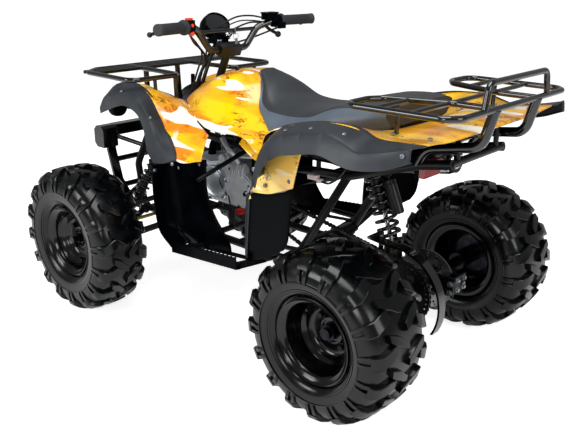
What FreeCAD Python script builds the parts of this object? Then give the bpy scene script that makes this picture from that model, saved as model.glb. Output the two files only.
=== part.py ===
import FreeCAD, Part
import math
import os

# A youth utility quad bike, in millimetres.
# +X is the rider's left, +Y the rear, +Z up; the origin is on the floor below the middle.
V = FreeCAD.Vector
os.makedirs("parts", exist_ok=True)

# Running gear
wheelbase = 1000.0
frontAxleY = -516.0
rearAxleY = frontAxleY + wheelbase
frontTyreR = 238.5
frontTyreWidth = 178.0
frontTrackHalf = 418.0
rearTyreR = 226.0
rearTyreWidth = 225.0
rearTrackHalf = 352.5
rimR = 114.0
rimBarrelR = 98.0
rimSteel = 3.5
seatGap = 0.3          # between pieces that sit against each other
runGap = 0.05          # radial, round a turning shaft

frontRimWidth = 142.0
rearRimWidth = 188.0
frontFace = 12.0       # mounting face of the front rim, outboard of the wheel's middle
rearFace = 8.0
treadColumns = 32      # steps round a tyre; each side has a lug at every second one
lugHeight = 13.0
grooveHalf = 3.0
tyreFront = rearAxleY - rearTyreR

# Steering geometry
stemFootY = -535.0
stemFootZ = 235.0
stemHeadY = -258.22
stemHeadZ = 824.0
stemR = 13.0
pitmanZ = 284.0        # where the stem carries its tie rod plate
pitmanReach = 58.0
pitmanSpread = 20.0
pitmanThick = 7.0
kingpinLow = V(354, frontAxleY - 4, 190)
kingpinHigh = V(332, frontAxleY + 4, 300)
spindleR = 11.0
arcPin = V(354, frontAxleY + 64, 256)
tieRodR = 6.0
barClampZ = 832.0       # middle of the handlebar in its clamp

# Frame
railR = 12.5
strutR = 10.0
stayR = 7.0
smallestPiece = 1000.0  # mm3; what a cut leaves inside a rail is smaller
lowRailZ = 240.0
lowRailX = 120.0
noseRailX = 92.0
topRailX = 72.0
swingPivotY = 185.0
swingPivotZ = 300.0
swingHalf = 98.0
upperPivotZ = 342.0

# Drive
axleR = 15.0
chainX = 52.0
chainWidth = 14.0
sprocketR = 84.0
driveSprocketR = 29.0
driveY = -135.0
driveZ = 392.0
discX = -82.0
discR = 88.0
discThick = 4.0
guardR = 150.0         # strap guard round the sprocket
guardPostAhead = 92.0
sprocketTeeth = 32
toothDepth = 5.0

# Plastics and carriers
skin = 4.0
rackLegX = 70.0
rackTubeR = 7.8
rackBarR = 6.0
flareTuck = 10.0       # how far a flare's flange reaches under its fender
shockWellHalf = 44.0   # opening in the rear body for the rear shock's head
footrestTilt = 4.9


def cyl(start, end, radius):
    way = end - start
    return Part.makeCylinder(radius, way.Length, start, way)


def block(x0, x1, y0, y1, z0, z1):
    return Part.makeBox(x1 - x0, y1 - y0, z1 - z0, V(x0, y0, z0))


def mirrored(shape):
    return shape.mirror(V(0, 0, 0), V(1, 0, 0))


def both(shape):
    return [shape, mirrored(shape)]


def fused(shapes):
    whole = shapes[0].multiFuse(shapes[1:]) if len(shapes) > 1 else shapes[0]
    return whole.removeSplitter()


def fusedLoose(shapes):
    return shapes[0].multiFuse(shapes[1:])


def bentPath(points, bend):
    """Straight runs joined by tangent arcs of one bend radius."""
    edges = []
    start = points[0]
    for before, corner, after in zip(points, points[1:], points[2:]):
        into = (corner - before).normalize()
        out = (after - corner).normalize()
        turn = into.getAngle(out)
        room = 0.45 * min((corner - before).Length, (after - corner).Length)
        cut = min(bend * math.tan(turn / 2), room)
        if cut < 0.5:
            continue
        radius = cut / math.tan(turn / 2)
        first = corner - into * cut
        last = corner + out * cut
        toCentre = (out - into).normalize()
        middle = corner + toCentre * (radius / math.cos(turn / 2) - radius)
        edges.append(Part.LineSegment(start, first).toShape())
        edges.append(Part.Arc(first, middle, last).toShape())
        start = last
    edges.append(Part.LineSegment(start, points[-1]).toShape())
    return Part.Wire(edges)


def tube(points, radius, bend=45.0):
    points = [V(*p) if isinstance(p, tuple) else p for p in points]
    if len(points) == 2:
        return cyl(points[0], points[1], radius)
    path = bentPath(points, bend)
    ring = Part.Wire(Part.makeCircle(radius, points[0], points[1] - points[0]))
    return path.makePipeShell([ring], True, False)


def plate(outline, x0, x1):
    """A flat piece drawn in Y and Z, from x0 to x1."""
    wire = Part.makePolygon([V(x0, y, z) for y, z in outline] + [V(x0, *outline[0])])
    return Part.Face(wire).extrude(V(x1 - x0, 0, 0))


def turned(profile, start, way=V(1, 0, 0)):
    """A piece drawn as (distance along the axis, radius) pairs and turned about that axis."""
    points = [V(r, 0, a) for a, r in profile]
    ring = Part.Face(Part.makePolygon(points + [points[0]])).revolve(V(0, 0, 0), V(0, 0, 1), 360)
    ring.Placement = FreeCAD.Placement(start, FreeCAD.Rotation(V(0, 0, 1), way))
    return ring


def edgesThrough(row, smooth):
    """One smooth curve through the row's points, or a straight edge between each two."""
    if smooth:
        curve = Part.BSplineCurve()
        curve.interpolate(row)
        return [curve.toShape()]
    return [Part.LineSegment(a, b).toShape() for a, b in zip(row, row[1:])]


def moulding(rows, thick, smooth=True):
    """A curved panel ruled between rows of points, thickened towards its hollow side."""
    under = []
    for i, row in enumerate(rows):
        line = []
        for j, point in enumerate(row):
            along = row[min(j + 1, len(row) - 1)] - row[max(j - 1, 0)]
            over = rows[min(i + 1, len(rows) - 1)][j] - rows[max(i - 1, 0)][j]
            line.append(point + along.cross(over).normalize() * -thick)
        under.append(line)
    faces = []
    ends = []
    for points in (rows, under):
        lines = [edgesThrough(row, smooth) for row in points]
        for first, second in zip(lines, lines[1:]):
            faces += [Part.makeRuledSurface(a, b) for a, b in zip(first, second)]
        ends.append(lines[0] + lines[-1])
    faces += [Part.makeRuledSurface(a, b) for a, b in zip(*ends)]
    for j in (0, -1):
        for i in range(len(rows) - 1):
            outerSide = Part.LineSegment(rows[i][j], rows[i + 1][j]).toShape()
            innerSide = Part.LineSegment(under[i][j], under[i + 1][j]).toShape()
            faces.append(Part.makeRuledSurface(outerSide, innerSide))
    shell = Part.Shell(faces)
    shell.sewShape()
    solid = Part.Solid(shell)
    if solid.Volume < 0:
        solid.reverse()
    return solid


def across(y, half):
    """A full-width row of points from a half profile that starts on the middle line."""
    left = [V(-x, y, z) for x, z in reversed(half[1:])]
    return left + [V(x, y, z) for x, z in half]


def symmetric(half):
    """A full-width row of points from (x, y, z) triples that start on the middle line."""
    return [V(-x, y, z) for x, y, z in reversed(half[1:])] + [V(*p) for p in half]


def save(name, shapes):
    solids = []
    for shape in shapes if isinstance(shapes, list) else [shapes]:
        solids += shape.Solids
    whole = solids[0] if len(solids) == 1 else Part.makeCompound(solids)
    whole.exportStep("parts/" + name + ".step")
    print(name, len(solids), "valid" if whole.isValid() else "NOT VALID", round(whole.Volume / 1000), "cm3")
    return whole


def biggest(shape):
    return max(shape.Solids, key=lambda s: s.Volume)


def seated(shape, *carriers):
    """The piece with its ends cut to lie against what carries it."""
    for carrier in carriers:
        shape = shape.cut(carrier)
    return biggest(shape)


# Axes that several pieces share
stemFoot = V(0, stemFootY, stemFootZ)
stemHead = V(0, stemHeadY, stemHeadZ)
stemWay = (stemHead - stemFoot).normalize()
stemBack = V(0, stemWay.z, -stemWay.y)
frontHub = V(frontTrackHalf, frontAxleY, frontTyreR)
rearHub = V(rearTrackHalf, rearAxleY, rearTyreR)
kingWay = (kingpinHigh - kingpinLow).normalize()
kingMid = kingpinLow + kingWay * ((frontHub.z - kingpinLow.z) / kingWay.z)
shockTop = V(120, frontAxleY + 2, 430)
shockFoot = V(268, frontAxleY + 2, 232)
rearShockTop = V(0, 328, 562)
rearShockFoot = V(0, 412, 330)


def onStem(z):
    return stemFoot + stemWay * ((z - stemFootZ) / stemWay.z)


pitmanPin = onStem(pitmanZ) + stemBack * pitmanReach + V(pitmanSpread, 0, 0)


def panelStays(carriers, panels):
    """Brackets from the rails to the panels; each is trimmed where it meets its panel."""
    stays = []
    for start, end in [((64, -560, 524), (64, -560, 655)), ((72, -440, 550), (215, -425, 765)),
                       ((76, -150, 550), (88, -150, 800)), ((114, 225, 538), (114, 225, 582)),
                       ((98, 648, 639), (98, 648, 745)), ((114, 200, 537), (315, 200, 585)),
                       ((118, 175, 285), (330, 200, 380)), ((78, -85, 546), (275, -110, 480))]:
        stay = cyl(V(*start), V(*end), stayR)
        for shape in both(stay):
            stays.append(seated(shape, *carriers, *panels))
    return stays


def footrestBars(carriers):
    """Outriggers from the lower rails, joined by a bar under each footrest."""
    tubes = [tube([(lowRailX, -130, lowRailZ), (292, -130, 262)], strutR),
             tube([(lowRailX, 70, lowRailZ), (292, 70, 262)], strutR),
             tube([(292, -142, 262), (292, 82, 262)], strutR)]
    return both(seated(fused(tubes), *carriers))


def shockTower():
    """Bracket and pin that hold a front shock's upper eye."""
    y = shockTop.y
    z = shockTop.z
    back = block(76, 100, y - 19, y + 19, z - 12, z + 12)
    pieces = [back, cyl(V(shockTop.x, y - 19, z), V(shockTop.x, y + 19, z), 6)]
    for cheek in (-19, 15):
        pieces.append(block(90, shockTop.x + 12, y + cheek, y + cheek + 4, z - 12, z + 12))
    return pieces


def lowerRails():
    """Two bent tubes: over the nose, down its front and back under the engine."""
    return both(tube([(topRailX, -380, 563), (topRailX, -600, 522), (noseRailX, -648, 400),
                      (noseRailX, -622, lowRailZ), (noseRailX, -400, lowRailZ),
                      (lowRailX, -290, lowRailZ), (lowRailX, 175, lowRailZ)], railR))


def upperRails(rails):
    """Two tubes from the nose over the engine to the tail."""
    rail = tube([(topRailX, -380, 563), (76, -60, 545), (112, 90, 530), (114, 330, 545), (130, 560, 622),
                 (130, 655, 640)], railR)
    return both(seated(rail, *rails))


def struts(rails):
    """On each side the nose strut with its shock tower and arm pivots, and the swing arm's post."""
    nose = [tube([(noseRailX, shockTop.y, lowRailZ), (topRailX, shockTop.y, 532)], strutR),
            tube([(noseRailX, -398, lowRailZ), (topRailX, -398, 559)], strutR),
            cyl(V(noseRailX, -610, upperPivotZ), V(noseRailX, -392, upperPivotZ), 9)]
    post = [tube([(lowRailX, 140, lowRailZ), (114, 330, 545)], railR),
            cyl(V(swingHalf, swingPivotY, swingPivotZ), V(lowRailX, swingPivotY, swingPivotZ), 15)]
    solids = []
    for pieces in (nose + shockTower(), post):
        solids += both(seated(fused(pieces), *rails))
    return solids


def crossTubes(rails):
    """Cross tubes with what is welded to them: engine plates, stem bushes and the rear shock's lugs."""
    ends = [(-600, lowRailZ, noseRailX), (-430, lowRailZ, noseRailX), (-220, lowRailZ, lowRailX),
            (-100, lowRailZ, lowRailX), (110, lowRailZ, lowRailX), (-400, 560, topRailX), (275, 542, 114),
            (478, 595, 123), (648, 639, 130)]
    pieces = [cyl(V(-half, y, z), V(half, y, z), strutR) for y, z, half in ends]
    for y in (-220, -100):
        pieces += both(plate([(y - 12, lowRailZ), (y + 12, lowRailZ), (y + 12, 352), (y - 12, 352)], 31, 37))
    y, z = rearShockTop.y, rearShockTop.z
    pieces += both(plate([(262, 550), (275, 538), (300, 549), (y - 12, z - 16), (y + 10, z - 6),
                          (y + 10, z + 14), (y - 10, z + 14)], -26, -20))
    pieces.append(cyl(V(-26, y, z), V(26, y, z), 6))
    pieces.append(cyl(onStem(241), onStem(268), 24))
    pieces.append(block(-noseRailX, noseRailX, onStem(252).y - 14, onStem(252).y + 14, 244, 254))
    pieces.append(cyl(onStem(548), onStem(582), 24))
    pieces.append(block(-12, 12, -408, onStem(565).y + 8, 554, 566))
    whole = fused(pieces).cut(cyl(stemFoot, stemHead, stemR + runGap))
    for rail in rails:
        whole = whole.cut(rail)
    return [solid for solid in whole.Solids if solid.Volume > smallestPiece]


def bumper(carriers):
    """Box bar with chamfered end caps on two flat straps, with two round bars between them."""
    front, back, low, high, cut = -736, -681, 470, 546, 14
    cap = [(front + cut, low), (back, low), (back, high - cut), (back - cut, high), (front + cut, high),
           (front, high - cut), (front, low + cut)]
    strap = [(-722, 508), (-724, 452), (-690, 340), (-628, 256), (-612, 256), (-612, 272), (-682, 346),
             (-714, 452), (-712, 508)]
    pieces = [block(-150, 150, -729, -692, 506, 545)]
    for s in (1, -1):
        pieces.append(plate(cap, s * 150, s * 210))
        pieces.append(plate(strap, s * 138, s * 172))
        pieces.append(tube([(s * 150, -706, 505), (s * 84, -622, 470)], 8))
        pieces.append(block(min(s * 84, s * 150), max(s * 84, s * 150), -630, -618, 252, 266))
    for y, z in [(-704, 415), (-672, 325)]:
        pieces.append(cyl(V(-142, y, z), V(142, y, z), 10))
    return seated(fused(pieces), *carriers)


def engineCase(carriers):
    """Crankcase of the horizontal single, with its round side cover and its starter."""
    case = plate([(-300, 372), (-285, 460), (-215, 476), (-118, 462), (-70, 430), (-66, 380), (-110, 352),
                  (-262, 352)], -88, 82)
    cover = cyl(V(80, -222, 418), V(104, -222, 418), 52)
    lip = cyl(V(80, -222, 418), V(96, -222, 418), 58)
    clutch = cyl(V(-112, -180, 405), V(-86, -180, 405), 74)
    drive = cyl(V(80, driveY, driveZ), V(chainX + 34, driveY, driveZ), 20)
    starter = cyl(V(-60, -196, 494), V(52, -196, 494), 26)
    hollow = block(chainX - 12, 90, driveY - 44, -40, 330, 440)
    case = case.cut(hollow)
    shaft = cyl(V(20, driveY, driveZ), V(chainX + 8, driveY, driveZ), 10)
    sprocket = cyl(V(chainX - 3, driveY, driveZ), V(chainX + 3, driveY, driveZ), driveSprocketR - 3)
    return seated(fused([case, cover, lip, clutch, starter, shaft, sprocket]), *carriers)


def engineCylinder(case):
    """Barrel with cooling fins and the head, lying forward from the crankcase."""
    foot = V(0, -290, 418)
    way = V(0, -0.996, 0.087)
    facing = FreeCAD.Rotation(V(0, 0, 1), way)

    def slab(width, height, start, thick):
        piece = Part.makeBox(width, height, thick, V(-width / 2, -height / 2, 0))
        piece.Placement = FreeCAD.Placement(foot + way * start, facing).multiply(piece.Placement)
        return piece

    pieces = [cyl(foot, foot + way * 100, 40)]
    for turn in range(6):
        pieces.append(slab(112, 96, 12 + 10.5 * turn, 4.5))
    pieces.append(slab(96, 82, 74, 36))
    return seated(fused(pieces), case)


def intake(carriers, case, barrel):
    """Inlet pipe, carburettor and air box above the engine."""
    pieces = [tube([(0, -350, 462), (0, -338, 512), (0, -296, 532), (0, -262, 532)], 14, 30),
              cyl(V(0, -264, 532), V(0, -196, 532), 24),
              cyl(V(0, -232, 500), V(0, -232, 552), 20),
              tube([(0, -198, 532), (0, -140, 528), (0, -98, 500)], 20, 60),
              block(-56, 56, -100, 60, 440, 522)]
    return seated(fused(pieces), barrel, case, *carriers)


def exhaust(carriers, barrel):
    """Header pipe down the right side to a silencer under the rear carrier."""
    pipe = tube([(0, -378, 392), (-40, -376, 362), (-148, -340, 352), (-150, -120, 380), (-150, 80, 440),
                 (-170, 240, 523)], 14, 60)
    front = V(-170, 236, 522)
    way = V(0, 0.985, 0.1725)
    can = cyl(front, front + way * 248, 41)
    cap = cyl(front + way * 248, front + way * 266, 38)
    tip = cyl(front + way * 266, front + way * 282, 13)
    bracket = block(-150, -112, 340, 362, 540, 554)
    return seated(fused([pipe, can, cap, tip, bracket]), barrel, *carriers)


def rearRack():
    """Rear carrier: two trays of tube, a full-width rear tube, a hoop and two supports."""
    z = 782.0
    tubes = []
    for s in (1, -1):
        tubes.append(tube([(0, 741, z), (s * 262, 741, z), (s * 290, 715, z), (s * 296, 470, z),
                           (s * 275, 448, z), (s * 200, 446, z), (s * 165, 470, z), (s * 108, 640, z),
                           (s * 108, 741, z)], rackTubeR, 28))
        tubes.append(tube([(s * 165, 741, z), (s * 150, 741, 846), (0, 741, 846)], rackTubeR, 22))
        tubes.append(tube([(s * 109, 741, z), (s * 113, 716, 690), (s * 135, 585, 668), (s * 130, 560, 624)],
                          13, 40))
        tubes.append(tube([(s * 296, 530, z), (s * 140, 530, z)], rackBarR))
        tubes.append(tube([(s * 240, 560, z), (s * 236, 560, 716)], rackBarR))
        tubes.append(tube([(s * 296, 560, z), (s * 236, 560, z)], rackBarR))
    tubes.append(cyl(V(-296, 625, z), V(296, 625, z), rackBarR))
    tubes.append(cyl(V(-135, 600, 671), V(135, 600, 671), 7))
    return fused(tubes)


def frontRack():
    """Front carrier: a tube loop open at the stem, its cross tubes together at the front."""
    z = 752.0
    tubes = []
    for s in (1, -1):
        tubes.append(tube([(0, -650, z), (s * 240, -650, z), (s * 300, -606, z), (s * 308, -385, z),
                           (s * 290, -358, z), (s * 140, -356, z), (s * 120, -374, z), (s * 112, -500, z),
                           (s * 112, -650, z)], rackTubeR, 26))
        tubes.append(cyl(V(s * rackLegX, -600, z), V(s * topRailX, -590, 524), 9.5))
        tubes.append(cyl(V(s * 138, -358, z), V(s * 136, -358, 660), rackTubeR))
        tubes.append(cyl(V(s * 222, -357, z), V(s * 220, -357, 700), rackBarR))
    for y in (-572, -600, -626):
        tubes.append(cyl(V(-300, y, z), V(300, y, z), rackBarR))
    return fused(tubes)


def wishbones(carriers):
    """Upper and lower arms on both sides, each a V of two tubes with a ball socket."""
    arms = []
    for ball, z, inner, tubeR in [(kingpinLow, lowRailZ, (-600, -425), 11),
                                  (kingpinHigh, upperPivotZ, (-600, -430), 9)]:
        tip = V(ball.x - 14, ball.y, ball.z)
        pieces = [cyl(ball - kingWay * 9, ball + kingWay * 9, 15)]
        for y in inner:
            pieces.append(cyl(V(noseRailX + 20, y, z), tip, tubeR))
            pieces.append(cyl(V(noseRailX + 22, y - 16, z), V(noseRailX + 22, y + 16, z), tubeR + 2))
            pieces.append(block(noseRailX, noseRailX + 22, y - 5, y + 5, z - 7, z + 7))
        if ball is kingpinLow:
            x, y, z = shockFoot
            pieces.append(block(x - 14, x + 14, y - 32, y + 26, z - 32, z - 22))
            pieces.append(cyl(V(x, y - 19, z), V(x, y + 19, z), 6))
            for cheek in (-19, 15):
                pieces.append(block(x - 12, x + 12, y + cheek, y + cheek + 4, z - 24, z + 10))
        arm = seated(fused(pieces), *carriers)
        arm = arm.cut(cyl(ball - kingWay * 12, ball + kingWay * 12, 8 + runGap))
        arms += both(biggest(arm))
    return arms


def coilShock(top, foot, coilR, wireR, turns, eyeWay):
    """Damper with its eyes, and a spring between two seats, turned as one ribbed piece."""
    way = (foot - top).normalize()
    length = (foot - top).Length
    outer = coilR + wireR
    first = 28.0
    pitch = (length - 2 * first) / turns
    profile = [(8, 0), (8, 10), (18, 10), (18, outer), (24, outer)]
    for turn in range(turns):
        start = first + pitch * turn
        profile += [(start, coilR - wireR), (start + pitch * 0.3, outer), (start + pitch * 0.6, outer)]
    profile += [(length - first, coilR - wireR), (length - 24, outer), (length - 18, outer), (length - 18, 10),
                (length - 8, 10), (length - 8, 0)]
    eyes = [cyl(eye - eyeWay * 13, eye + eyeWay * 13, 13) for eye in (top, foot)]
    return fused([turned(profile, top, way)] + eyes)


def frontShocks(carriers, arms):
    shock = coilShock(shockTop, shockFoot, 20, 4.5, 7, V(0, 1, 0))
    for pin in (shockTop, shockFoot):
        shock = shock.cut(cyl(pin - V(0, 40, 0), pin + V(0, 40, 0), 6 + seatGap))
    return both(seated(shock, *carriers, *arms))


def swingArm(carriers):
    """Rear arm: pivot tube, two box legs and the axle carrier with its shock lug."""
    legs = []
    for s in (1, -1):
        outline = [(swingPivotY - 14, swingPivotZ + 20), (swingPivotY + 20, swingPivotZ + 18),
                   (rearAxleY, rearTyreR + 26), (rearAxleY, rearTyreR - 26), (swingPivotY + 20, swingPivotZ - 22),
                   (swingPivotY - 14, swingPivotZ - 20)]
        inner = -36 if s < 0 else 8
        leg = plate(outline, inner, inner + 22)
        legs.append(leg)
    pieces = legs + [cyl(V(-swingHalf, swingPivotY, swingPivotZ), V(swingHalf, swingPivotY, swingPivotZ), 21)]
    pieces.append(cyl(V(-48, rearAxleY, rearTyreR), V(34, rearAxleY, rearTyreR), 36))
    pieces.append(block(-36, 30, 300, 330, 262, 286))
    for s in (1, -1):
        pieces.append(plate([(385, 240), (440, 240), (424, 345), (400, 345)], s * 21 - 3, s * 21 + 3))
    pieces.append(cyl(V(-24, rearShockFoot.y, rearShockFoot.z), V(24, rearShockFoot.y, rearShockFoot.z), 6))
    bore = cyl(V(-100, rearAxleY, rearTyreR), V(100, rearAxleY, rearTyreR), axleR + runGap)
    return seated(fused(pieces).cut(bore), *carriers)


def rearShock(carriers, arm):
    shock = coilShock(rearShockTop, rearShockFoot, 29, 6, 6, V(1, 0, 0))
    bottle = fused([cyl(V(0, 385, 525), V(0, 425, 430), 19), cyl(V(0, 350, 528), V(0, 392, 510), 9)])
    shock = fused([shock, bottle])
    for pin in (rearShockTop, rearShockFoot):
        shock = shock.cut(cyl(pin - V(40, 0, 0), pin + V(40, 0, 0), 6 + seatGap))
    return seated(shock, *carriers, arm)


def loopBand(r0, r1, grow, x0, x1):
    """A flat loop round both sprockets: radii r0 and r1, grown by the band's own height."""
    a = V(x0, driveY, driveZ)
    b = V(x0, rearAxleY, rearTyreR)
    way = b - a
    lean = math.asin((r1 - r0) / way.Length)
    base = math.atan2(way.z, way.y)

    def ring(r0, r1):
        ends = []
        for sign in (1, -1):
            angle = base + sign * (math.pi / 2 + lean)
            out = V(0, math.cos(angle), math.sin(angle))
            ends.append((a + out * r0, b + out * r1))
        back = V(0, math.cos(base), math.sin(base))
        edges = [Part.LineSegment(ends[0][0], ends[0][1]).toShape(),
                 Part.Arc(ends[0][1], b + back * r1, ends[1][1]).toShape(),
                 Part.LineSegment(ends[1][1], ends[1][0]).toShape(),
                 Part.Arc(ends[1][0], a - back * r0, ends[0][0]).toShape()]
        return Part.Face(Part.Wire(edges))

    outer = ring(r0 + grow, r1 + grow).extrude(V(x1 - x0, 0, 0))
    inner = ring(r0, r1).extrude(V(x1 - x0, 0, 0))
    return outer.cut(inner)


def chain():
    half = chainWidth / 2
    return loopBand(driveSprocketR - 2.5, sprocketR + 0.5, 8, chainX - half, chainX + half)


def sprocketGuard(arm):
    """A bent strap round the back of the sprocket, with a small hoop at its foot."""
    edges = []
    for r in (guardR, guardR - 6):
        edges.append(Part.makeCircle(r, V(70, rearAxleY, rearTyreR), V(1, 0, 0)))
    ring = Part.Face(Part.Wire(edges[0])).cut(Part.Face(Part.Wire(edges[1]))).extrude(V(30, 0, 0))
    window = plate([(rearAxleY - 30, rearTyreR + 400), (rearAxleY + 400, rearTyreR + 400),
                    (rearAxleY + 400, rearTyreR - 70), (rearAxleY + 120, rearTyreR - 70),
                    (rearAxleY, rearTyreR)], 60, 110)
    arc = ring.common(window)
    y = rearAxleY - guardPostAhead
    z = rearTyreR + guardR + 6
    strap = plate([(y, z), (y + 62, z - 6), (y + 98, z - 6), (y + 98, z - 13), (y + 62, z - 13), (y, z - 7)], 70, 100)
    foot = block(29, 43, y, y + 14, rearTyreR + 10, rearTyreR + 30)
    post = block(38, 43, y, y + 14, rearTyreR + 10, z)
    stay = block(38, 100, y, y + 14, z - 6, z)
    return biggest(fused([arc, strap, foot, post, stay]).cut(arm))


def frontKnuckle():
    """Kingpin yoke with its spindle and steering arm."""
    pieces = [cyl(kingpinLow - kingWay * 4, kingpinHigh + kingWay * 4, 8),
              cyl(kingpinLow + kingWay * 16, kingpinHigh - kingWay * 16, 15),
              cyl(V(kingMid.x, frontHub.y, frontHub.z), frontHub + V(52, 0, 0), spindleR),
              cyl(V(kingMid.x + 2, frontHub.y, frontHub.z), V(kingMid.x + 24, frontHub.y, frontHub.z), 20),
              tube([kingMid + V(-4, 6, 0), arcPin + V(0, 0, 0)], 8),
              cyl(arcPin - V(0, 0, 8), arcPin + V(0, 0, 8), 11)]
    return fused(pieces)


def tieRod():
    """Rod from the stem's plate to the knuckle's arm, open at its outer eye."""
    inner = pitmanPin + stemWay * (pitmanThick + 7)
    outer = arcPin + V(0, 0, 16)
    pieces = [cyl(inner, outer, tieRodR),
              cyl(inner - stemWay * 6, inner + stemWay * 6, 11),
              cyl(outer - V(0, 0, 6), outer + V(0, 0, 6), 11)]
    return biggest(fused(pieces).cut(cyl(inner - stemWay * 20, inner + stemWay * 20, 4 + runGap)))


def stem():
    """Steering stem with the tie rod plate near its foot and the bar clamp at its head."""
    facing = FreeCAD.Rotation(V(1, 0, 0), stemBack, stemWay, "XYZ")

    def onAxis(z, width, back, reach, thick, base):
        piece = Part.makeBox(width, reach + back, thick, V(-width / 2, -back, base))
        piece.Placement = FreeCAD.Placement(onStem(z), facing).multiply(piece.Placement)
        return piece

    pin = cyl(pitmanPin, pitmanPin + stemWay * (pitmanThick + 15), 4)
    pitman = onAxis(pitmanZ, 2 * pitmanSpread + 24, 18, pitmanReach + 12, pitmanThick, 0)
    clamp = onAxis(barClampZ - 16, 90, 17, 17, 34, 0)
    return fused([cyl(stemFoot, stemHead, stemR), pin, mirrored(pin), pitman, clamp]).cut(handlebarTube(0.0))


def handlebarTube(grow):
    y = onStem(barClampZ).y
    half = [(46, y, barClampZ), (78, y - 2, barClampZ + 1), (128, y + 2, 893), (178, -232, 911), (325, -190, 914)]
    points = [(-px, py, pz) for px, py, pz in reversed(half)] + half
    return tube(points, 11 + grow, 40)


def handlebar():
    brace = cyl(V(-126, -252, 890), V(126, -252, 890), 6)
    return fused([handlebarTube(0.0), brace])


def controls():
    """Grips, switch pods and levers."""
    pieces = []
    for s in (1, -1):
        far = V(s * 327, -189.5, 914)
        near = V(s * 205, -222, 912.2)
        way = (far - near).normalize()
        grip = cyl(near, far + way * 8, 17)
        collar = cyl(near - way * 2, near + way * 8, 23)
        pod = cyl(near - way * 30, near - way * 2, 22)
        lever = tube([near - way * 16 + V(0, -20, 0), near + V(s * 20, -52, -6), far + V(0, -44, -16)], 6, 30)
        pieces.append(fused([grip, collar, pod, lever]).cut(handlebarTube(0.0)))
    return [biggest(p) for p in pieces]


def pod():
    """Instrument pod with its hood, ahead of the bar."""
    body = plate([(-330, 862), (-350, 905), (-318, 934), (-262, 924), (-262, 880), (-284, 858)], -62, 62)
    bracket = block(-20, 20, -296, -262, 838, 884)
    return seated(fused([body, bracket]), handlebar(), stem())


def rim(centre, width, face, bore, hub):
    """Pressed steel rim: flanges, drop-centre barrel and the dished disc with its nuts."""
    h = width / 2
    face -= rimSteel
    profile = [(h, rimR), (h, rimR - 4), (h - 8, rimBarrelR - 2), (h - 24, rimBarrelR - 8), (face + 14, 80),
               (face + 4, 66), (face + rimSteel, 34), (face + rimSteel, bore), (face, bore), (face, 62),
               (face + 8, 76), (face - 2, rimBarrelR - 9), (-h + 20, rimBarrelR - 9), (-h + 6, rimBarrelR - 2),
               (-h, rimR - 4), (-h, rimR), (-h + 4, rimR), (-h + 9, rimBarrelR + 2), (-h + 20, rimBarrelR - 5),
               (h - 20, rimBarrelR - 5), (h - 9, rimBarrelR + 2), (h - 4, rimR)]
    pieces = [turned(profile, centre)]
    for a in [math.pi / 4 + k * math.pi / 2 for k in range(4)]:
        nut = centre + V(face, 48 * math.cos(a), 48 * math.sin(a))
        pieces.append(cyl(nut, nut + V(rimSteel + 11, 0, 0), 8))
    if hub:
        inside = centre + V(face - 34, 0, 0)
        outside = centre + V(face + 38, 0, 0)
        drum = cyl(inside, centre + V(face + 1, 0, 0), 58).fuse(cyl(inside, outside, 27))
        pieces.append(drum.cut(cyl(inside - V(9, 0, 0), frontHub + V(52 + 1, 0, 0), bore)))
    return fused(pieces)


def tyre(centre, radius, width, rimWidth):
    """Balloon tyre in flat faces: lugs alternate from side to side round the tread; open inside."""
    h = width / 2
    bead = rimWidth / 2 - 9 - seatGap
    hollowSides = 12
    foot = (rimBarrelR + 2 + seatGap) / math.cos(math.pi / hollowSides)
    carcass = [(grooveHalf, radius - lugHeight), (h * 0.62, radius - lugHeight - 3), (h * 0.97, radius - 56),
               (h * 0.93, rimR + 24), (bead, rimR + 1)]
    lug = [(grooveHalf, radius), (h * 0.62, radius - 3), (h - 6, radius - 17), (h - 1, radius - 44)]
    hollow = [(bead, foot), (bead - 10, foot), (h - 16, rimR + 40), (0, radius - 27), (16 - h, rimR + 40),
              (10 - bead, foot), (-bead, foot)]

    def at(point, step, steps=treadColumns):
        a = math.radians(270 + 360 * step / steps)
        return centre + V(point[0], point[1] * math.cos(a), point[1] * math.sin(a))

    def onSide(line, s):
        return [(s * x, r) for x, r in line]

    def face(corners):
        return Part.Face(Part.makePolygon(corners + [corners[0]]))

    def band(line, step, steps=treadColumns):
        return [face([at(p, step, steps), at(p, step + 1, steps), at(q, step + 1, steps), at(q, step, steps)])
                for p, q in zip(line, line[1:])]

    faces = []
    for s, first in ((1, 0), (-1, 1)):
        low, high = onSide(carcass, s), onSide(lug, s)
        for k in range(treadColumns):
            raised = k % 2 == first
            faces += band([low[0]] + high + low[2:] if raised else low, k)
            faces.append(face([at(p, k) for p in [low[0]] + high + [low[2], low[1]]]))
        rings = [face([at((s * bead, r), k, steps) for k in range(steps)])
                 for r, steps in ((rimR + 1, treadColumns), (foot, hollowSides))]
        faces += rings[0].cut(rings[1]).Faces
    for k in range(treadColumns):
        faces += band([carcass[0], (-grooveHalf, radius - lugHeight)], k)
    for k in range(hollowSides):
        faces += band(hollow, k, hollowSides)
    shell = Part.Shell(faces)
    shell.sewShape()
    solid = Part.Solid(shell)
    if solid.Volume < 0:
        solid.reverse()
    return solid


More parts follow.
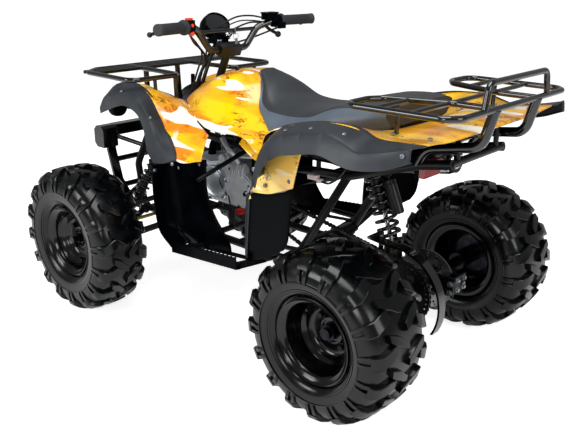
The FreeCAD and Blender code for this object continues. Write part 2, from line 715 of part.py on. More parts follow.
def rearAxle():
    """Live axle with its wheel hubs and the hubs of the sprocket and the brake disc."""
    end = rearTrackHalf + 40
    pieces = [cyl(V(-end, rearAxleY, rearTyreR), V(end, rearAxleY, rearTyreR), axleR)]
    face = rearTrackHalf + rearFace - rimSteel
    for s in (1, -1):
        pieces.append(cyl(V(s * 250, rearAxleY, rearTyreR), V(s * face, rearAxleY, rearTyreR), 27))
        pieces.append(cyl(V(s * (face - 7), rearAxleY, rearTyreR), V(s * face, rearAxleY, rearTyreR), 60))
        pieces.append(cyl(V(s * (face - 1), rearAxleY, rearTyreR), V(s * (face + 24), rearAxleY, rearTyreR), 21))
    pieces.append(cyl(V(40, rearAxleY, rearTyreR), V(chainX + 14, rearAxleY, rearTyreR), 30))
    pieces.append(cyl(V(discX - 14, rearAxleY, rearTyreR), V(discX + 20, rearAxleY, rearTyreR), 28))
    return fused(pieces)


def ringDisc(x, thick, outer, inner, holes):
    """A disc on the rear axle with a ring of (count, radius of the ring, radius) holes for each entry."""
    centre = V(x, rearAxleY, rearTyreR)
    disc = outer if isinstance(outer, Part.Shape) else cyl(centre, centre + V(thick, 0, 0), outer)
    cuts = [cyl(centre - V(5, 0, 0), centre + V(thick + 5, 0, 0), inner)]
    for count, ringR, holeR in holes:
        for k in range(count):
            a = 2 * math.pi * k / count
            hole = centre + V(-5, ringR * math.cos(a), ringR * math.sin(a))
            cuts.append(cyl(hole, hole + V(thick + 10, 0, 0), holeR))
    return disc.cut(fusedLoose(cuts))


def toothed(x, thick):
    """The rear sprocket's toothed blank."""
    outline = []
    for k in range(sprocketTeeth):
        for share, r in [(0.0, sprocketR - toothDepth), (0.25, sprocketR - toothDepth), (0.45, sprocketR),
                         (0.8, sprocketR)]:
            a = 2 * math.pi * (k + share) / sprocketTeeth
            outline.append((rearAxleY + r * math.cos(a), rearTyreR + r * math.sin(a)))
    return plate(outline, x, x + thick)


def caliper(arm):
    """Brake caliper over the disc, on a bracket from the axle carrier."""
    body = block(discX - 30, discX + 34, rearAxleY + 42, rearAxleY + 108, rearTyreR - 20, rearTyreR + 40)
    slot = block(discX - 5, discX + discThick + 5, rearAxleY + 30, rearAxleY + 96, rearTyreR - 40, rearTyreR + 60)
    bracket = plate([(rearAxleY + 20, rearTyreR - 16), (rearAxleY + 108, rearTyreR - 16),
                     (rearAxleY + 108, rearTyreR + 30), (rearAxleY + 20, rearTyreR + 20)], -48, -40)
    reach = block(discX + 20, -40, rearAxleY + 60, rearAxleY + 100, rearTyreR - 10, rearTyreR + 30)
    return biggest(fused([body.cut(slot), bracket, reach]).cut(arm))


def flare(stations):
    """A wheel arch flare: at each station an inner edge, a crease and a lower edge."""
    wires = []
    for station in stations:
        inner, crease, edge = [V(*p) for p in station]
        inner = inner + V(-flareTuck, 0, -skin * 0.6)
        facing = (crease - inner).cross(edge - crease).normalize()
        inTop = facing.cross(crease - inner).normalize() * skin
        inSide = facing.cross(edge - crease).normalize() * skin
        corner = crease + (inTop + inSide) * (1 / (1 + inTop.dot(inSide) / skin ** 2))
        wires.append(Part.makePolygon([inner, crease, edge, edge + inSide, corner, inner + inTop, inner]))
    return Part.makeLoft(wires, True, True)


frontFlareLine = [
    ((262, -575, 662), (280, -585, 640), (275, -590, 616)),
    ((268, -535, 700), (288, -545, 675), (285, -531, 636)),
    ((270, -470, 726), (300, -467, 700), (300, -464, 658)),
    ((270, -411, 734), (310, -400, 715), (310, -409, 670)),
    ((271, -366, 726), (316, -355, 708), (315, -367, 667)),
    ((273, -323, 706), (321, -318, 692), (320, -323, 650)),
    ((281, -280, 667), (328, -270, 665), (325, -293, 614)),
    ((291, -233, 620), (330, -240, 625), (330, -280, 578)),
    ((298, -200, 575), (330, -221, 573), (330, -272, 545)),
    ((300, -178, 531), (330, -216, 521), (330, -244, 516))]

rearFlareLine = [
    ((298, 186, 562), (380, 221, 562), (388, 241, 552)),
    ((296, 188, 612), (380, 236, 617), (394, 260, 592)),
    ((297, 200, 655), (382, 258, 655), (398, 284, 620)),
    ((300, 245, 694), (384, 286, 685), (400, 304, 640)),
    ((306, 290, 711), (384, 318, 699), (400, 334, 655)),
    ((312, 350, 726), (382, 360, 711), (400, 367, 663)),
    ((315, 405, 735), (380, 412, 720), (400, 412, 673)),
    ((318, 460, 738), (380, 462, 727), (400, 463, 679)),
    ((322, 520, 734), (386, 522, 712), (400, 528, 664)),
    ((328, 570, 720), (392, 570, 702), (400, 577, 664)),
    ((333, 640, 724), (396, 640, 717), (400, 640, 677)),
    ((338, 700, 730), (392, 700, 733), (396, 702, 702))]


def frontWing():
    """The yellow fender, from the flare's inner edge to the cowl and the tank."""
    rows = [
        [(130, -640, 650), (170, -626, 662), (215, -608, 663), (260, -582, 660)],
        [(130, -566, 680), (170, -560, 694), (215, -550, 702), (266, -538, 700)],
        [(130, -485, 690), (172, -482, 704), (220, -478, 722), (268, -472, 727)],
        [(130, -410, 688), (172, -410, 704), (220, -411, 726), (268, -411, 735)],
        [(128, -355, 676), (172, -358, 694), (222, -363, 718), (269, -366, 727)],
        [(132, -318, 674), (178, -316, 688), (225, -320, 704), (271, -323, 707)],
        [(160, -272, 668), (200, -272, 682), (240, -276, 682), (279, -280, 668)],
        [(196, -215, 664), (226, -220, 664), (258, -226, 650), (289, -233, 621)],
        [(232, -150, 644), (254, -155, 634), (276, -165, 600), (298, -178, 532)],
        [(262, -70, 622), (278, -66, 606), (292, -62, 580), (304, -60, 552)]]
    return moulding([[V(*p) for p in row] for row in rows], skin)


def frontCowl():
    """The trough in the middle of the nose, with a keyhole for the stem."""
    rows = [across(-668, [(0, 590), (60, 592), (105, 600), (129, 612)]),
            across(-640, [(0, 618), (60, 620), (105, 632), (129, 649)]),
            across(-566, [(0, 634), (60, 638), (105, 655), (129, 679)]),
            across(-485, [(0, 644), (60, 648), (105, 664), (129, 689)]),
            across(-410, [(0, 650), (60, 654), (105, 668), (129, 687)]),
            across(-356, [(0, 652), (60, 655), (105, 664), (127, 675)])]
    cowl = moulding(rows, skin).cut(cyl(onStem(560), stemHead, stemR + 12))
    for s in (1, -1):
        cowl = cowl.cut(cyl(V(s * rackLegX, -600, 780), V(s * topRailX, -590, 524), 9.5 + seatGap))
    return biggest(cowl)


def tankCover():
    """The cover over the tank, drawn back along the seat to a tip beside each rear flare."""
    rows = [[(0, -262, 738), (60, -284, 736), (96, -306, 708), (118, -324, 682), (136, -308, 675),
             (158, -272, 669)],
            [(0, -205, 768), (60, -205, 765), (105, -205, 750), (140, -205, 718), (172, -205, 688),
             (204, -205, 662)],
            [(0, -130, 781), (60, -130, 778), (110, -130, 757), (150, -130, 712), (188, -130, 674),
             (228, -130, 634)],
            [(0, -55, 766), (60, -55, 762), (112, -55, 728), (152, -55, 692), (196, -55, 660),
             (240, -55, 630)],
            [(0, 5, 715), (60, 5, 714), (118, 0, 692), (160, 28, 670), (200, 45, 648), (246, 48, 634)],
            [(0, 30, 690), (60, 32, 690), (122, 42, 676), (172, 98, 655), (214, 142, 634), (247, 112, 594)]]
    return moulding([symmetric(row) for row in rows], skin)


def rearBody():
    rows = [across(30, [(0, 585), (80, 585), (140, 606), (185, 632), (215, 628), (236, 608)]),
            across(110, [(0, 570), (90, 570), (150, 586), (200, 612), (228, 600), (244, 574)]),
            across(190, [(0, 570), (95, 570), (160, 590), (215, 636), (262, 655), (296, 668)]),
            across(275, [(0, 570), (100, 570), (165, 600), (220, 660), (268, 690), (306, 706)]),
            across(335, [(0, 574), (110, 574), (170, 610), (225, 672), (272, 704), (311, 722)]),
            across(420, [(0, 636), (110, 640), (170, 664), (230, 700), (278, 724), (315, 737)]),
            across(500, [(0, 702), (110, 704), (170, 708), (230, 716), (278, 729), (321, 738)]),
            across(580, [(0, 718), (110, 718), (170, 718), (230, 718), (280, 718), (329, 719)]),
            across(692, [(0, 718), (110, 718), (170, 718), (230, 720), (280, 725), (337, 729)])]
    y, z = rearShockTop.y, rearShockTop.z
    well = block(-shockWellHalf, shockWellHalf, y - shockWellHalf, y + shockWellHalf + 14, z - 60, z + 60)
    return biggest(moulding(rows, skin).cut(well))


def sidePanel():
    rows = [[V(296, 126, 477), V(305, 215, 512), V(314, 304, 548)],
            [V(295, 150, 530), V(305, 232, 568), V(316, 318, 598)],
            [V(294, 176, 588), V(304, 248, 628), V(316, 332, 645)]]
    return moulding(rows, skin)


def mudguard():
    """The guard ahead of the rear tyre, with its front edge turned in."""
    rows = [[(280, -158, 300), (294, -138, 297), (302, -63, 321), (308, 10, 366)],
            [(280, -157, 350), (295, -134, 350), (303, -53, 365), (312, 28, 400)],
            [(281, -154, 420), (296, -128, 420), (305, -46, 432), (315, 38, 470)],
            [(282, -150, 488), (297, -120, 500), (306, -44, 513), (316, 46, 543)]]
    return moulding([[V(x, tyreFront + ahead, z) for x, ahead, z in row] for row in rows], skin)


def footwell():
    """Front wall behind the wheel, rounded into the inner side wall and down to the footrest."""
    rows = [[V(324, -262, 506), V(284, -270, 506), V(250, -256, 508), V(238, -180, 522), V(240, -105, 538)],
            [V(326, -264, 430), V(284, -266, 425), V(248, -246, 422), V(237, -175, 428), V(238, -108, 438)],
            [V(326, -256, 350), V(284, -256, 345), V(248, -232, 340), V(237, -150, 345), V(236, -76, 365)],
            [V(325, -240, 296), V(284, -238, 290), V(250, -214, 284), V(238, -120, 284), V(234, -20, 296)],
            [V(322, -192, 256), V(290, -190, 254), V(258, -180, 254), V(240, -110, 256), V(234, -10, 262)]]
    return moulding(rows, skin)


def footrest(carriers):
    """Moulded rim round the open foot space, rising to the rear."""
    outer = Part.makePolygon([V(x, y, 246) for x, y in [(228, -200), (322, -188), (326, 104), (228, 130),
                                                        (228, -200)]])
    inner = Part.makePolygon([V(x, y, 246) for x, y in [(246, -160), (300, -150), (304, 74), (246, 92),
                                                        (246, -160)]])
    floor = Part.Face(outer).cut(Part.Face(inner)).extrude(V(0, 0, 5))
    lip = Part.makePolygon([V(x, y, 246) for x, y in [(318, -188), (322, -188), (326, 104), (322, 104),
                                                      (318, -188)]])
    rim = Part.Face(lip).extrude(V(0, 0, 36))
    whole = fused([floor, rim])
    whole.rotate(V(0, -142, 246), V(1, 0, 0), footrestTilt)
    return seated(whole, *carriers)


def seat():
    """Saddle with a narrow nose up the tank, flanks that lean out and a tail under the carrier."""
    rows = []
    for y, half, edge, flank, low, base, top in [(-80, 32, 783, 40, 774, 760, 789), (-30, 72, 750, 84, 738, 720, 768),
                                                 (0, 106, 710, 122, 698, 690, 752), (38, 124, 692, 149, 681, 655, 723),
                                                 (75, 132, 689, 173, 668, 625, 711), (125, 140, 689, 202, 651, 600, 707),
                                                 (190, 152, 695, 214, 650, 600, 712), (240, 160, 706, 214, 664, 604, 722),
                                                 (290, 163, 728, 207, 680, 612, 739), (340, 162, 742, 194, 702, 625, 750),
                                                 (410, 156, 749, 178, 718, 660, 757), (476, 146, 748, 160, 736, 705, 755)]:
        side = [(half * 0.55, top - 2), (half, edge), (flank, low), (flank * 0.84, base)]
        ring = [V(0, y, top)] + [V(x, y, z) for x, z in side] + [V(-x, y, z) for x, z in reversed(side)]
        rows.append(Part.makePolygon(ring + [ring[0]]))
    return Part.makeLoft(rows, True, True)


def lamps(carriers, wing):
    tail = block(-42, 42, 492, 522, 568, 600)
    bracket = block(-20, 20, 476, 492, 584, 598)
    tail = seated(fused([tail, bracket]), *carriers)
    head = cyl(V(168, -655, 618), V(168, -621, 618), 34).fuse(cyl(V(168, -630, 640), V(168, -630, 700), 8))
    return [tail] + both(biggest(head.cut(wing)))


wing = frontWing()
cowl = frontCowl()
tank = seated(tankCover(), wing, mirrored(wing))
tail = seated(rearBody(), tank)
frontFlare = seated(flare(frontFlareLine), wing)
rearFlare = seated(flare(rearFlareLine), tail)
panel = seated(sidePanel(), tail, rearFlare)
guard = seated(mudguard(), panel)
well = seated(footwell(), wing, frontFlare)
seatShape = seated(seat(), tail, tank)
save("front_flares", both(frontFlare))
save("rear_flares", both(rearFlare))
save("front_body", both(wing) + [cowl])
save("tank_cover", tank)
save("rear_body", tail)
save("side_panels", both(panel))
save("rear_mudguards", both(guard))
save("seat", seatShape)
panels = [cowl, tank, tail] + both(wing) + both(panel) + both(guard) + both(well)
rails = lowerRails()
save("frame_lower_rails", rails)
rails += upperRails(rails)
save("frame_upper_rails", rails[2:])
frame = rails + struts(rails)
save("frame_struts", frame[4:])
crossPieces = crossTubes(frame)
save("frame_cross_tubes", crossPieces)
frame += crossPieces
bars = footrestBars(frame)
save("footrest_bars", bars)
well = seated(well, bars[0])
save("footwells", both(well))
save("panel_stays", panelStays(frame, panels + bars))
save("footrests", both(footrest([bars[0], well])))
save("bumper", bumper(frame))
caseShape = save("engine_crankcase", engineCase(frame))
barrelShape = save("engine_cylinder", engineCylinder(caseShape))
save("intake", intake(frame, caseShape, barrelShape))
save("exhaust", exhaust(frame, barrelShape))
save("rear_rack", seated(rearRack(), tail, *frame))
save("front_rack", seated(frontRack(), wing, mirrored(wing), cowl, *frame))
arms = wishbones(frame)
save("suspension_arms", arms)
save("front_shocks", frontShocks(frame, arms))
swing = save("swing_arm", swingArm(frame))
save("rear_shock", rearShock(frame, swing))
save("chain", chain())
save("sprocket_guard", sprocketGuard(swing))
save("brake_caliper", caliper(swing))
save("lamps", lamps(frame, wing))
save("steering_stem", stem())
save("handlebar", handlebar())
save("controls", controls())
save("instrument_pod", pod())
knuckle = frontKnuckle()
rod = tieRod()
for side, turn in (("left", lambda s: s), ("right", mirrored)):
    save("knuckle_" + side, turn(knuckle))
    save("tie_rod_" + side, turn(rod))
    save("front_rim_" + side, turn(rim(frontHub, frontRimWidth, frontFace, spindleR + runGap, True)))
    save("front_tyre_" + side, turn(tyre(frontHub, frontTyreR, frontTyreWidth, frontRimWidth)))
    save("rear_rim_" + side, turn(rim(rearHub, rearRimWidth, rearFace, 21 + seatGap, False)))
    save("rear_tyre_" + side, turn(tyre(rearHub, rearTyreR, rearTyreWidth, rearRimWidth)))
save("rear_axle", rearAxle())
save("rear_sprocket", ringDisc(chainX - 3, 6, toothed(chainX - 3, 6), 30, [(6, 55, 12)]))
save("brake_disc", ringDisc(discX, discThick, discR, 28, [(6, 46, 9), (16, 72, 4), (16, 81, 3)]))
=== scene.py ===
import bpy
import math
from mathutils import Matrix, Vector


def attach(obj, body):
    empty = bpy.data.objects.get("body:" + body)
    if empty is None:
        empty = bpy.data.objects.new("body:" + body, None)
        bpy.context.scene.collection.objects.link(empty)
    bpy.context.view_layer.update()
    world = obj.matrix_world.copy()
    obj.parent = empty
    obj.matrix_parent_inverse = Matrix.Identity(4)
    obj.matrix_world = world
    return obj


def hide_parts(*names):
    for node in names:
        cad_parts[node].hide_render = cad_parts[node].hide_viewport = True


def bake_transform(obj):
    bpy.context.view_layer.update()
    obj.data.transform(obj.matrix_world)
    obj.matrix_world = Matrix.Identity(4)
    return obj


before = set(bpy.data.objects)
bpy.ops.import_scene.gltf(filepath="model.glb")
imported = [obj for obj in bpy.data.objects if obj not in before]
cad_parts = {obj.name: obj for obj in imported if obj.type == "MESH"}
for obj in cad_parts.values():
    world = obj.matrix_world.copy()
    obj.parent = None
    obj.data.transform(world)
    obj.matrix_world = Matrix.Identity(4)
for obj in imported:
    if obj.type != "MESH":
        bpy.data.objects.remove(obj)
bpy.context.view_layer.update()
mm = 0.001
leftWay = Vector((1, 0, 0))  # to the rider's left
rearWay = Vector((0, 1, 0))
upWay = Vector((0, 0, 1))
turnFull = 2 * math.pi
print("frame loaded")


# Points and curves

def point(x, y, z):
    return Vector((x, y, z)) * mm  # sizes are written in millimetres


def pointsOf(places):
    return [point(*p) for p in places]


def flip(p):
    return Vector((-p[0], p[1], p[2]))  # the same place on the right-hand side


def smoothStep(low, high, value):
    t = min(1, max(0, (value - low) / (high - low)))
    return t * t * (3 - 2 * t)


def curveAt(points, t):
    # Catmull-Rom through all points, t from 0 to 1
    last = len(points) - 1
    place = min(max(t, 0), 1) * last
    i = min(int(place), last - 1)
    f = place - i
    p1 = points[i]
    p2 = points[i + 1]
    p0 = points[i - 1] if i > 0 else p1 * 2 - p2
    p3 = points[i + 2] if i + 2 <= last else p2 * 2 - p1
    return 0.5 * (2 * p1 + (p2 - p0) * f + (2 * p0 - 5 * p1 + 4 * p2 - p3) * f ** 2
                  + (3 * p1 - p0 - 3 * p2 + p3) * f ** 3)


def refine(rows, down, along):
    # a rough net of points made into a fine smooth one
    fine = [[curveAt(row, j / along) for j in range(along + 1)] for row in rows]
    columns = [[row[j] for row in fine] for j in range(along + 1)]
    return [[curveAt(column, i / down) for column in columns] for i in range(down + 1)]


def frameOf(way):
    # two directions square to way
    way = way.normalized()
    side = way.cross(upWay)
    if side.length < 0.1:
        side = way.cross(leftWay)
    side.normalize()
    return side, way.cross(side).normalized()


# Shapes are pairs of a list of points and a list of faces

def joined(shapes):
    points = []
    faces = []
    for shapePoints, shapeFaces in shapes:
        start = len(points)
        points += shapePoints
        faces += [tuple(start + i for i in face) for face in shapeFaces]
    return points, faces


def mirroredShape(shape):
    return [flip(p) for p in shape[0]], [tuple(reversed(face)) for face in shape[1]]


def net(rows, closed=False):
    # quads between rows of points
    count = len(rows[0])
    points = [p for row in rows for p in row]
    faces = []
    for i in range(len(rows) - 1):
        for j in range(count if closed else count - 1):
            k = (j + 1) % count
            faces.append((i * count + j, i * count + k, (i + 1) * count + k, (i + 1) * count + j))
    return points, faces


def lathe(profile, centre, way, segments=96, loop=False):
    # profile holds (distance along way, radius) pairs in metres
    side, up = frameOf(way)
    way = way.normalized()
    rows = []
    for along, radius in profile + (profile[:1] if loop else []):
        row = []
        for i in range(segments):
            a = turnFull * i / segments
            row.append(centre + way * along + (side * math.cos(a) + up * math.sin(a)) * radius)
        rows.append(row)
    return net(rows, closed=True)


def rod(start, end, radius, segments=24, rim=0.0008):
    # a plain round bar with a small chamfer at its ends
    length = (end - start).length
    rim = min(rim, radius * 0.3, length * 0.3)
    profile = [(0, 0), (0, radius - rim), (rim, radius), (length - rim, radius), (length, radius - rim),
               (length, 0)]
    return lathe(profile, start, end - start, segments)


def sweep(path, radius, sides=12):
    # a tube along a list of points
    rows = []
    side = None
    for i, p in enumerate(path):
        way = (path[min(i + 1, len(path) - 1)] - path[max(i - 1, 0)]).normalized()
        if side is None:
            side, up = frameOf(way)
        side = (side - way * side.dot(way)).normalized()
        up = way.cross(side)
        size = radius(i / (len(path) - 1)) if callable(radius) else radius
        angles = [turnFull * k / sides for k in range(sides)]
        rows.append([p + (side * math.cos(a) + up * math.sin(a)) * size for a in angles])
    points, faces = net(rows, closed=True)
    faces.append(tuple(reversed(range(sides))))
    faces.append(tuple(range(len(points) - sides, len(points))))
    return points, faces


def smoothPath(points, steps):
    return [curveAt(points, i / steps) for i in range(steps + 1)]


def helix(start, end, radius, turns, steps=20, dead=0.75):
    # coil between two points, its first and last turns closed up
    side, up = frameOf(end - start)
    way = end - start
    path = []
    total = int(turns * steps)
    for i in range(total + 1):
        t = i / total
        flat = dead / turns
        climb = smoothStep(0, 1, t) * 0.15 + t * 0.85 if flat < t < 1 - flat else t
        a = turnFull * turns * t
        path.append(start + way * climb + (side * math.cos(a) + up * math.sin(a)) * radius)
    return path


def slab(outline, thick):
    # outline is a list of points in one plane, thick a vector
    count = len(outline)
    points = list(outline) + [p + thick for p in outline]
    faces = [tuple(reversed(range(count))), tuple(range(count, 2 * count))]
    for i in range(count):
        j = (i + 1) % count
        faces.append((i, j, count + j, count + i))
    return points, faces


def brick(centre, size, axes=None):
    axes = axes or (leftWay, rearWay, upWay)
    x, y, z = [axis.normalized() * s for axis, s in zip(axes, size)]
    corner = centre - (x + y + z) / 2
    return slab([corner, corner + x, corner + x + y, corner + y], z)


def hexHead(place, way, across, height, washer=1.35):
    # a hexagon nut or bolt head on its washer
    way = way.normalized()
    side, up = frameOf(way)
    thin = height * 0.22
    corners = [math.pi / 3 * k for k in range(6)]
    ring = [place + way * thin + (side * math.cos(a) + up * math.sin(a)) * across / 2 for a in corners]
    return joined([rod(place, place + way * thin, across / 2 * washer, 20, 0.0003),
                   slab(ring, way * (height - thin))])


def panHead(place, way, radius):
    # a domed screw head with a cross recess suggested by a dimple
    profile = [(-0.001, 0), (-0.001, radius), (0, radius), (radius * 0.35, radius * 0.82),
               (radius * 0.5, radius * 0.45),
               (radius * 0.5, radius * 0.25), (radius * 0.3, radius * 0.12), (radius * 0.3, 0)]
    return lathe(profile, place, way, 20)


# Pieces

def addPiece(name, shape, material, body, hides=(), smooth=40, bevel=0, thick=0, inside=None):
    mesh = bpy.data.meshes.new(name)
    mesh.from_pydata([tuple(p) for p in shape[0]], [], shape[1])
    mesh.update()
    piece = bpy.data.objects.new(name, mesh)
    bpy.context.scene.collection.objects.link(piece)
    for one in material if isinstance(material, list) else [material]:
        mesh.materials.append(one)
    if inside:
        mesh.materials.append(inside)
    if thick:
        wall = piece.modifiers.new("wall", "SOLIDIFY")
        wall.thickness = thick
        wall.offset = -1
        wall.use_even_offset = True
        wall.material_offset = 1 if inside else 0
    if bevel:
        edge = piece.modifiers.new("soft edges", "BEVEL")
        edge.width = bevel
        edge.segments = 2
        edge.limit_method = "ANGLE"
        edge.angle_limit = math.radians(40)
    mesh.polygons.foreach_set("use_smooth", [True] * len(mesh.polygons))
    mesh.set_sharp_from_angle(angle=math.radians(smooth))
    if body:
        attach(piece, body)
    if hides:
        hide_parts(*hides)
    return piece


# Materials

def linear(code):
    values = [int(code[i:i + 2], 16) / 255 for i in (1, 3, 5)]
    return tuple(v / 12.92 if v <= 0.04045 else ((v + 0.055) / 1.055) ** 2.4 for v in values) + (1,)


def addNode(tree, kind, inputs=None, **settings):
    node = tree.nodes.new("ShaderNode" + kind)
    for name, value in settings.items():
        setattr(node, name, value)
    for name, value in (inputs or {}).items():
        if isinstance(value, bpy.types.NodeSocket):
            tree.links.new(value, node.inputs[name])
        else:
            node.inputs[name].default_value = value
    return node


def newMaterial(name, colour, roughness, metallic=0.0, **sockets):
    material = bpy.data.materials.new(name)
    material.use_nodes = True
    tree = material.node_tree
    shader = tree.nodes["Principled BSDF"]
    shader.inputs["Base Color"].default_value = linear(colour)
    shader.inputs["Roughness"].default_value = roughness
    shader.inputs["Metallic"].default_value = metallic
    for key, value in sockets.items():
        shader.inputs[key.replace("_", " ")].default_value = value
    place = addNode(tree, "TexCoord").outputs["Object"]
    return material, tree, shader, place


def ramp(tree, factor, stops):
    node = addNode(tree, "ValToRGB", {"Fac": factor})
    band = node.color_ramp
    while len(band.elements) < len(stops):
        band.elements.new(0.5)
    for element, (position, colour) in zip(band.elements, stops):
        element.position = position
        element.color = linear(colour) if isinstance(colour, str) else (colour, colour, colour, 1)
    return node.outputs["Color"]


def noiseAt(tree, place, size, detail=4, distortion=0.0, roughness=0.5):
    # size is the width of one cloud in millimetres
    return addNode(tree, "TexNoise", {"Vector": place, "Scale": 1 / (size * mm), "Detail": detail,
                                      "Distortion": distortion, "Roughness": roughness}).outputs["Fac"]


def addBump(tree, shader, height, depth, strength=1.0):
    # depth in millimetres
    bump = addNode(tree, "Bump", {"Height": height, "Distance": depth * mm, "Strength": strength})
    tree.links.new(bump.outputs["Normal"], shader.inputs["Normal"])


def varyRough(tree, shader, factor, low, high):
    spread = addNode(tree, "MapRange", {"Value": factor, "To Min": low, "To Max": high})
    tree.links.new(spread.outputs["Result"], shader.inputs["Roughness"])


def mixColour(tree, factor, first, second):
    node = addNode(tree, "Mix", {"Factor": factor}, data_type="RGBA")
    for socket, value in ((node.inputs[6], first), (node.inputs[7], second)):
        if isinstance(value, bpy.types.NodeSocket):
            tree.links.new(value, socket)
        else:
            socket.default_value = linear(value)
    return node.outputs[2]


def printedAbs(name, base, deep, bright, pale):
    # glossy ABS under a printed film: soft clouds, bark-brown branches, and pale patches that are painted
    # highlights
    material, tree, shader, place = newMaterial(name, base, 0.2, Coat_Weight=0.4, Coat_Roughness=0.06)
    stretch = addNode(tree, "Mapping", {"Vector": place, "Rotation": (0.5, 0.9, 0.3),
                                        "Scale": (1.0, 0.5, 1.5)})
    slanted = stretch.outputs["Vector"]
    clouds = ramp(tree, noiseAt(tree, slanted, 120, 3, 0.8), [(0.47, 0.0), (0.60, 1.0)])
    colour = mixColour(tree, clouds, base, deep)
    glow = ramp(tree, noiseAt(tree, slanted, 90, 2, 0.4), [(0.50, 0.0), (0.58, 1.0)])
    colour = mixColour(tree, glow, colour, bright)
    area = ramp(tree, noiseAt(tree, place, 95, 3, 0.5), [(0.50, 0.0), (0.58, 1.0)])
    twigs = ramp(tree, noiseAt(tree, slanted, 34, 5, 1.6, 0.55),
                 [(0.462, 0.0), (0.492, 1.0), (0.508, 1.0), (0.538, 0.0)])
    marks = addNode(tree, "Math", {0: area, 1: twigs}, operation="MULTIPLY").outputs["Value"]
    colour = mixColour(tree, marks, colour, "#5B3208")
    rust = ramp(tree, noiseAt(tree, slanted, 30, 6, 1.2), [(0.56, 0.0), (0.64, 0.9)])
    rusty = addNode(tree, "Math", {0: area, 1: rust}, operation="MULTIPLY").outputs["Value"]
    colour = mixColour(tree, rusty, colour, "#B45A08")
    # pale patches scattered by noise: painted highlights standing in for the gloss reflection on the film
    slash = addNode(tree, "Mapping", {"Vector": place, "Rotation": (0.2, 0.5, 1.1),
                                      "Scale": (1.0, 0.3, 1.7)})
    paintedHighlights = ramp(tree, noiseAt(tree, slash.outputs["Vector"], 60, 1, 0.3), [(0.615, 0.0), (0.635, 1.0)])
    colour = mixColour(tree, paintedHighlights, colour, pale)
    tree.links.new(colour, shader.inputs["Base Color"])
    addBump(tree, shader, noiseAt(tree, place, 18, 2), 0.15, 0.2)
    return material


def mouldedPlastic(name, colour, worn, roughness, grain, depth, specular=0.3):
    # injection-moulded plastic with a fine spark-eroded grain and faint handling marks
    material, tree, shader, place = newMaterial(name, colour, roughness, Specular_IOR_Level=specular)
    marks = ramp(tree, noiseAt(tree, place, 60, 5), [(0.35, 0.0), (0.75, 1.0)])
    tree.links.new(mixColour(tree, marks, colour, worn), shader.inputs["Base Color"])
    varyRough(tree, shader, marks, roughness - 0.06, roughness + 0.08)
    addBump(tree, shader, noiseAt(tree, place, grain, 3), depth, 0.5)
    return material


def paintedSteel(name, colour, roughness, coat):
    # sprayed enamel over welded tube: a slight orange peel
    material, tree, shader, place = newMaterial(name, colour, roughness, Coat_Weight=coat,
                                                Coat_Roughness=0.06, Specular_IOR_Level=0.25)
    varyRough(tree, shader, noiseAt(tree, place, 35, 4), roughness - 0.05, roughness + 0.07)
    addBump(tree, shader, noiseAt(tree, place, 4, 2), 0.05, 0.4)
    return material


def bareMetal(name, colour, dull, roughness, grain, metallic=1.0):
    # machined, plated or cast metal: cloudy tone and fine grain
    material, tree, shader, place = newMaterial(name, colour, roughness, metallic)
    clouds = ramp(tree, noiseAt(tree, place, 22, 5), [(0.3, 0.0), (0.7, 1.0)])
    tree.links.new(mixColour(tree, clouds, colour, dull), shader.inputs["Base Color"])
    varyRough(tree, shader, clouds, roughness - 0.05, roughness + 0.1)
    addBump(tree, shader, noiseAt(tree, place, grain, 3), 0.06, 0.4)
    return material


def vinyl(name, colour, worn):
    # upholstery vinyl: pebbled grain 1.5 mm across, drawn as 2.5 mm so that it shows
    material, tree, shader, place = newMaterial(name, colour, 0.48)
    marks = ramp(tree, noiseAt(tree, place, 80, 4), [(0.35, 0.0), (0.7, 1.0)])
    tree.links.new(mixColour(tree, marks, colour, worn), shader.inputs["Base Color"])
    cells = addNode(tree, "TexVoronoi", {"Vector": place, "Scale": 400.0}, feature="DISTANCE_TO_EDGE")
    addBump(tree, shader, cells.outputs["Distance"], 0.25, 0.35)
    return material


def tyreRubber():
    # moulded tyre compound: near black with a bluish bloom and a fine dusty film
    material, tree, shader, place = newMaterial("moulded tyre rubber", "#050607", 0.26,
                                                Specular_IOR_Level=0.3)
    dust = ramp(tree, noiseAt(tree, place, 45, 6), [(0.4, 0.0), (0.75, 1.0)])
    tree.links.new(mixColour(tree, dust, "#030405", "#0A0B0D"), shader.inputs["Base Color"])
    varyRough(tree, shader, dust, 0.16, 0.32)
    addBump(tree, shader, noiseAt(tree, place, 2.2, 3), 0.12, 0.45)
    return material


def clearPlastic(name, colour, roughness=0.12):
    # dyed acrylic lens over a reflector, shown opaque and glossy
    return newMaterial(name, colour, roughness, Coat_Weight=0.4, Coat_Roughness=0.03)[0]


# the lamps are strong, so yellow and grey render lighter than they are written
camo = printedAbs("printed gloss ABS", "#EDAA00", "#E08300", "#F6C000", "#F4ECD8")
# a lighter copy of the printed ABS for the side panels: painted light, making up for the shade that the
# tilted panels stand in
camoPaintedLight = printedAbs("printed gloss ABS, painted lighter for shade", "#FFCC60", "#F2AC40", "#FFD870", "#FBE6B4")
greyPlastic = mouldedPlastic("moulded grey polypropylene", "#24282C", "#2B3035", 0.4, 1.6, 0.12)
blackPlastic = mouldedPlastic("moulded black polypropylene", "#010204", "#030508", 0.26, 1.6, 0.03, 0.03)
seatTop = vinyl("seat vinyl, charcoal", "#25282C", "#2E3236")
seatSide = vinyl("seat vinyl, slate", "#46505B", "#505B67")
frameBlack = paintedSteel("satin black powder coat", "#060607", 0.38, 0.1)
rackBlack = paintedSteel("gloss black enamel on tube", "#030304", 0.16, 0.9)
rimBlack = paintedSteel("gloss black rim enamel", "#010102", 0.18, 0.25)
castAlloy = bareMetal("die-cast aluminium", "#E6E8EB", "#D0D4D8", 0.42, 1.2, 0.35)
polishedAlloy = bareMetal("polished aluminium cover", "#C8CFD7", "#B8BFC8", 0.32, 60.0, 0.7)
darkAlloy = bareMetal("engine black paint over casting", "#3A3C3F", "#26282A", 0.45, 1.2)
steel = bareMetal("machined steel", "#A9ABAD", "#7F8183", 0.3, 0.8)
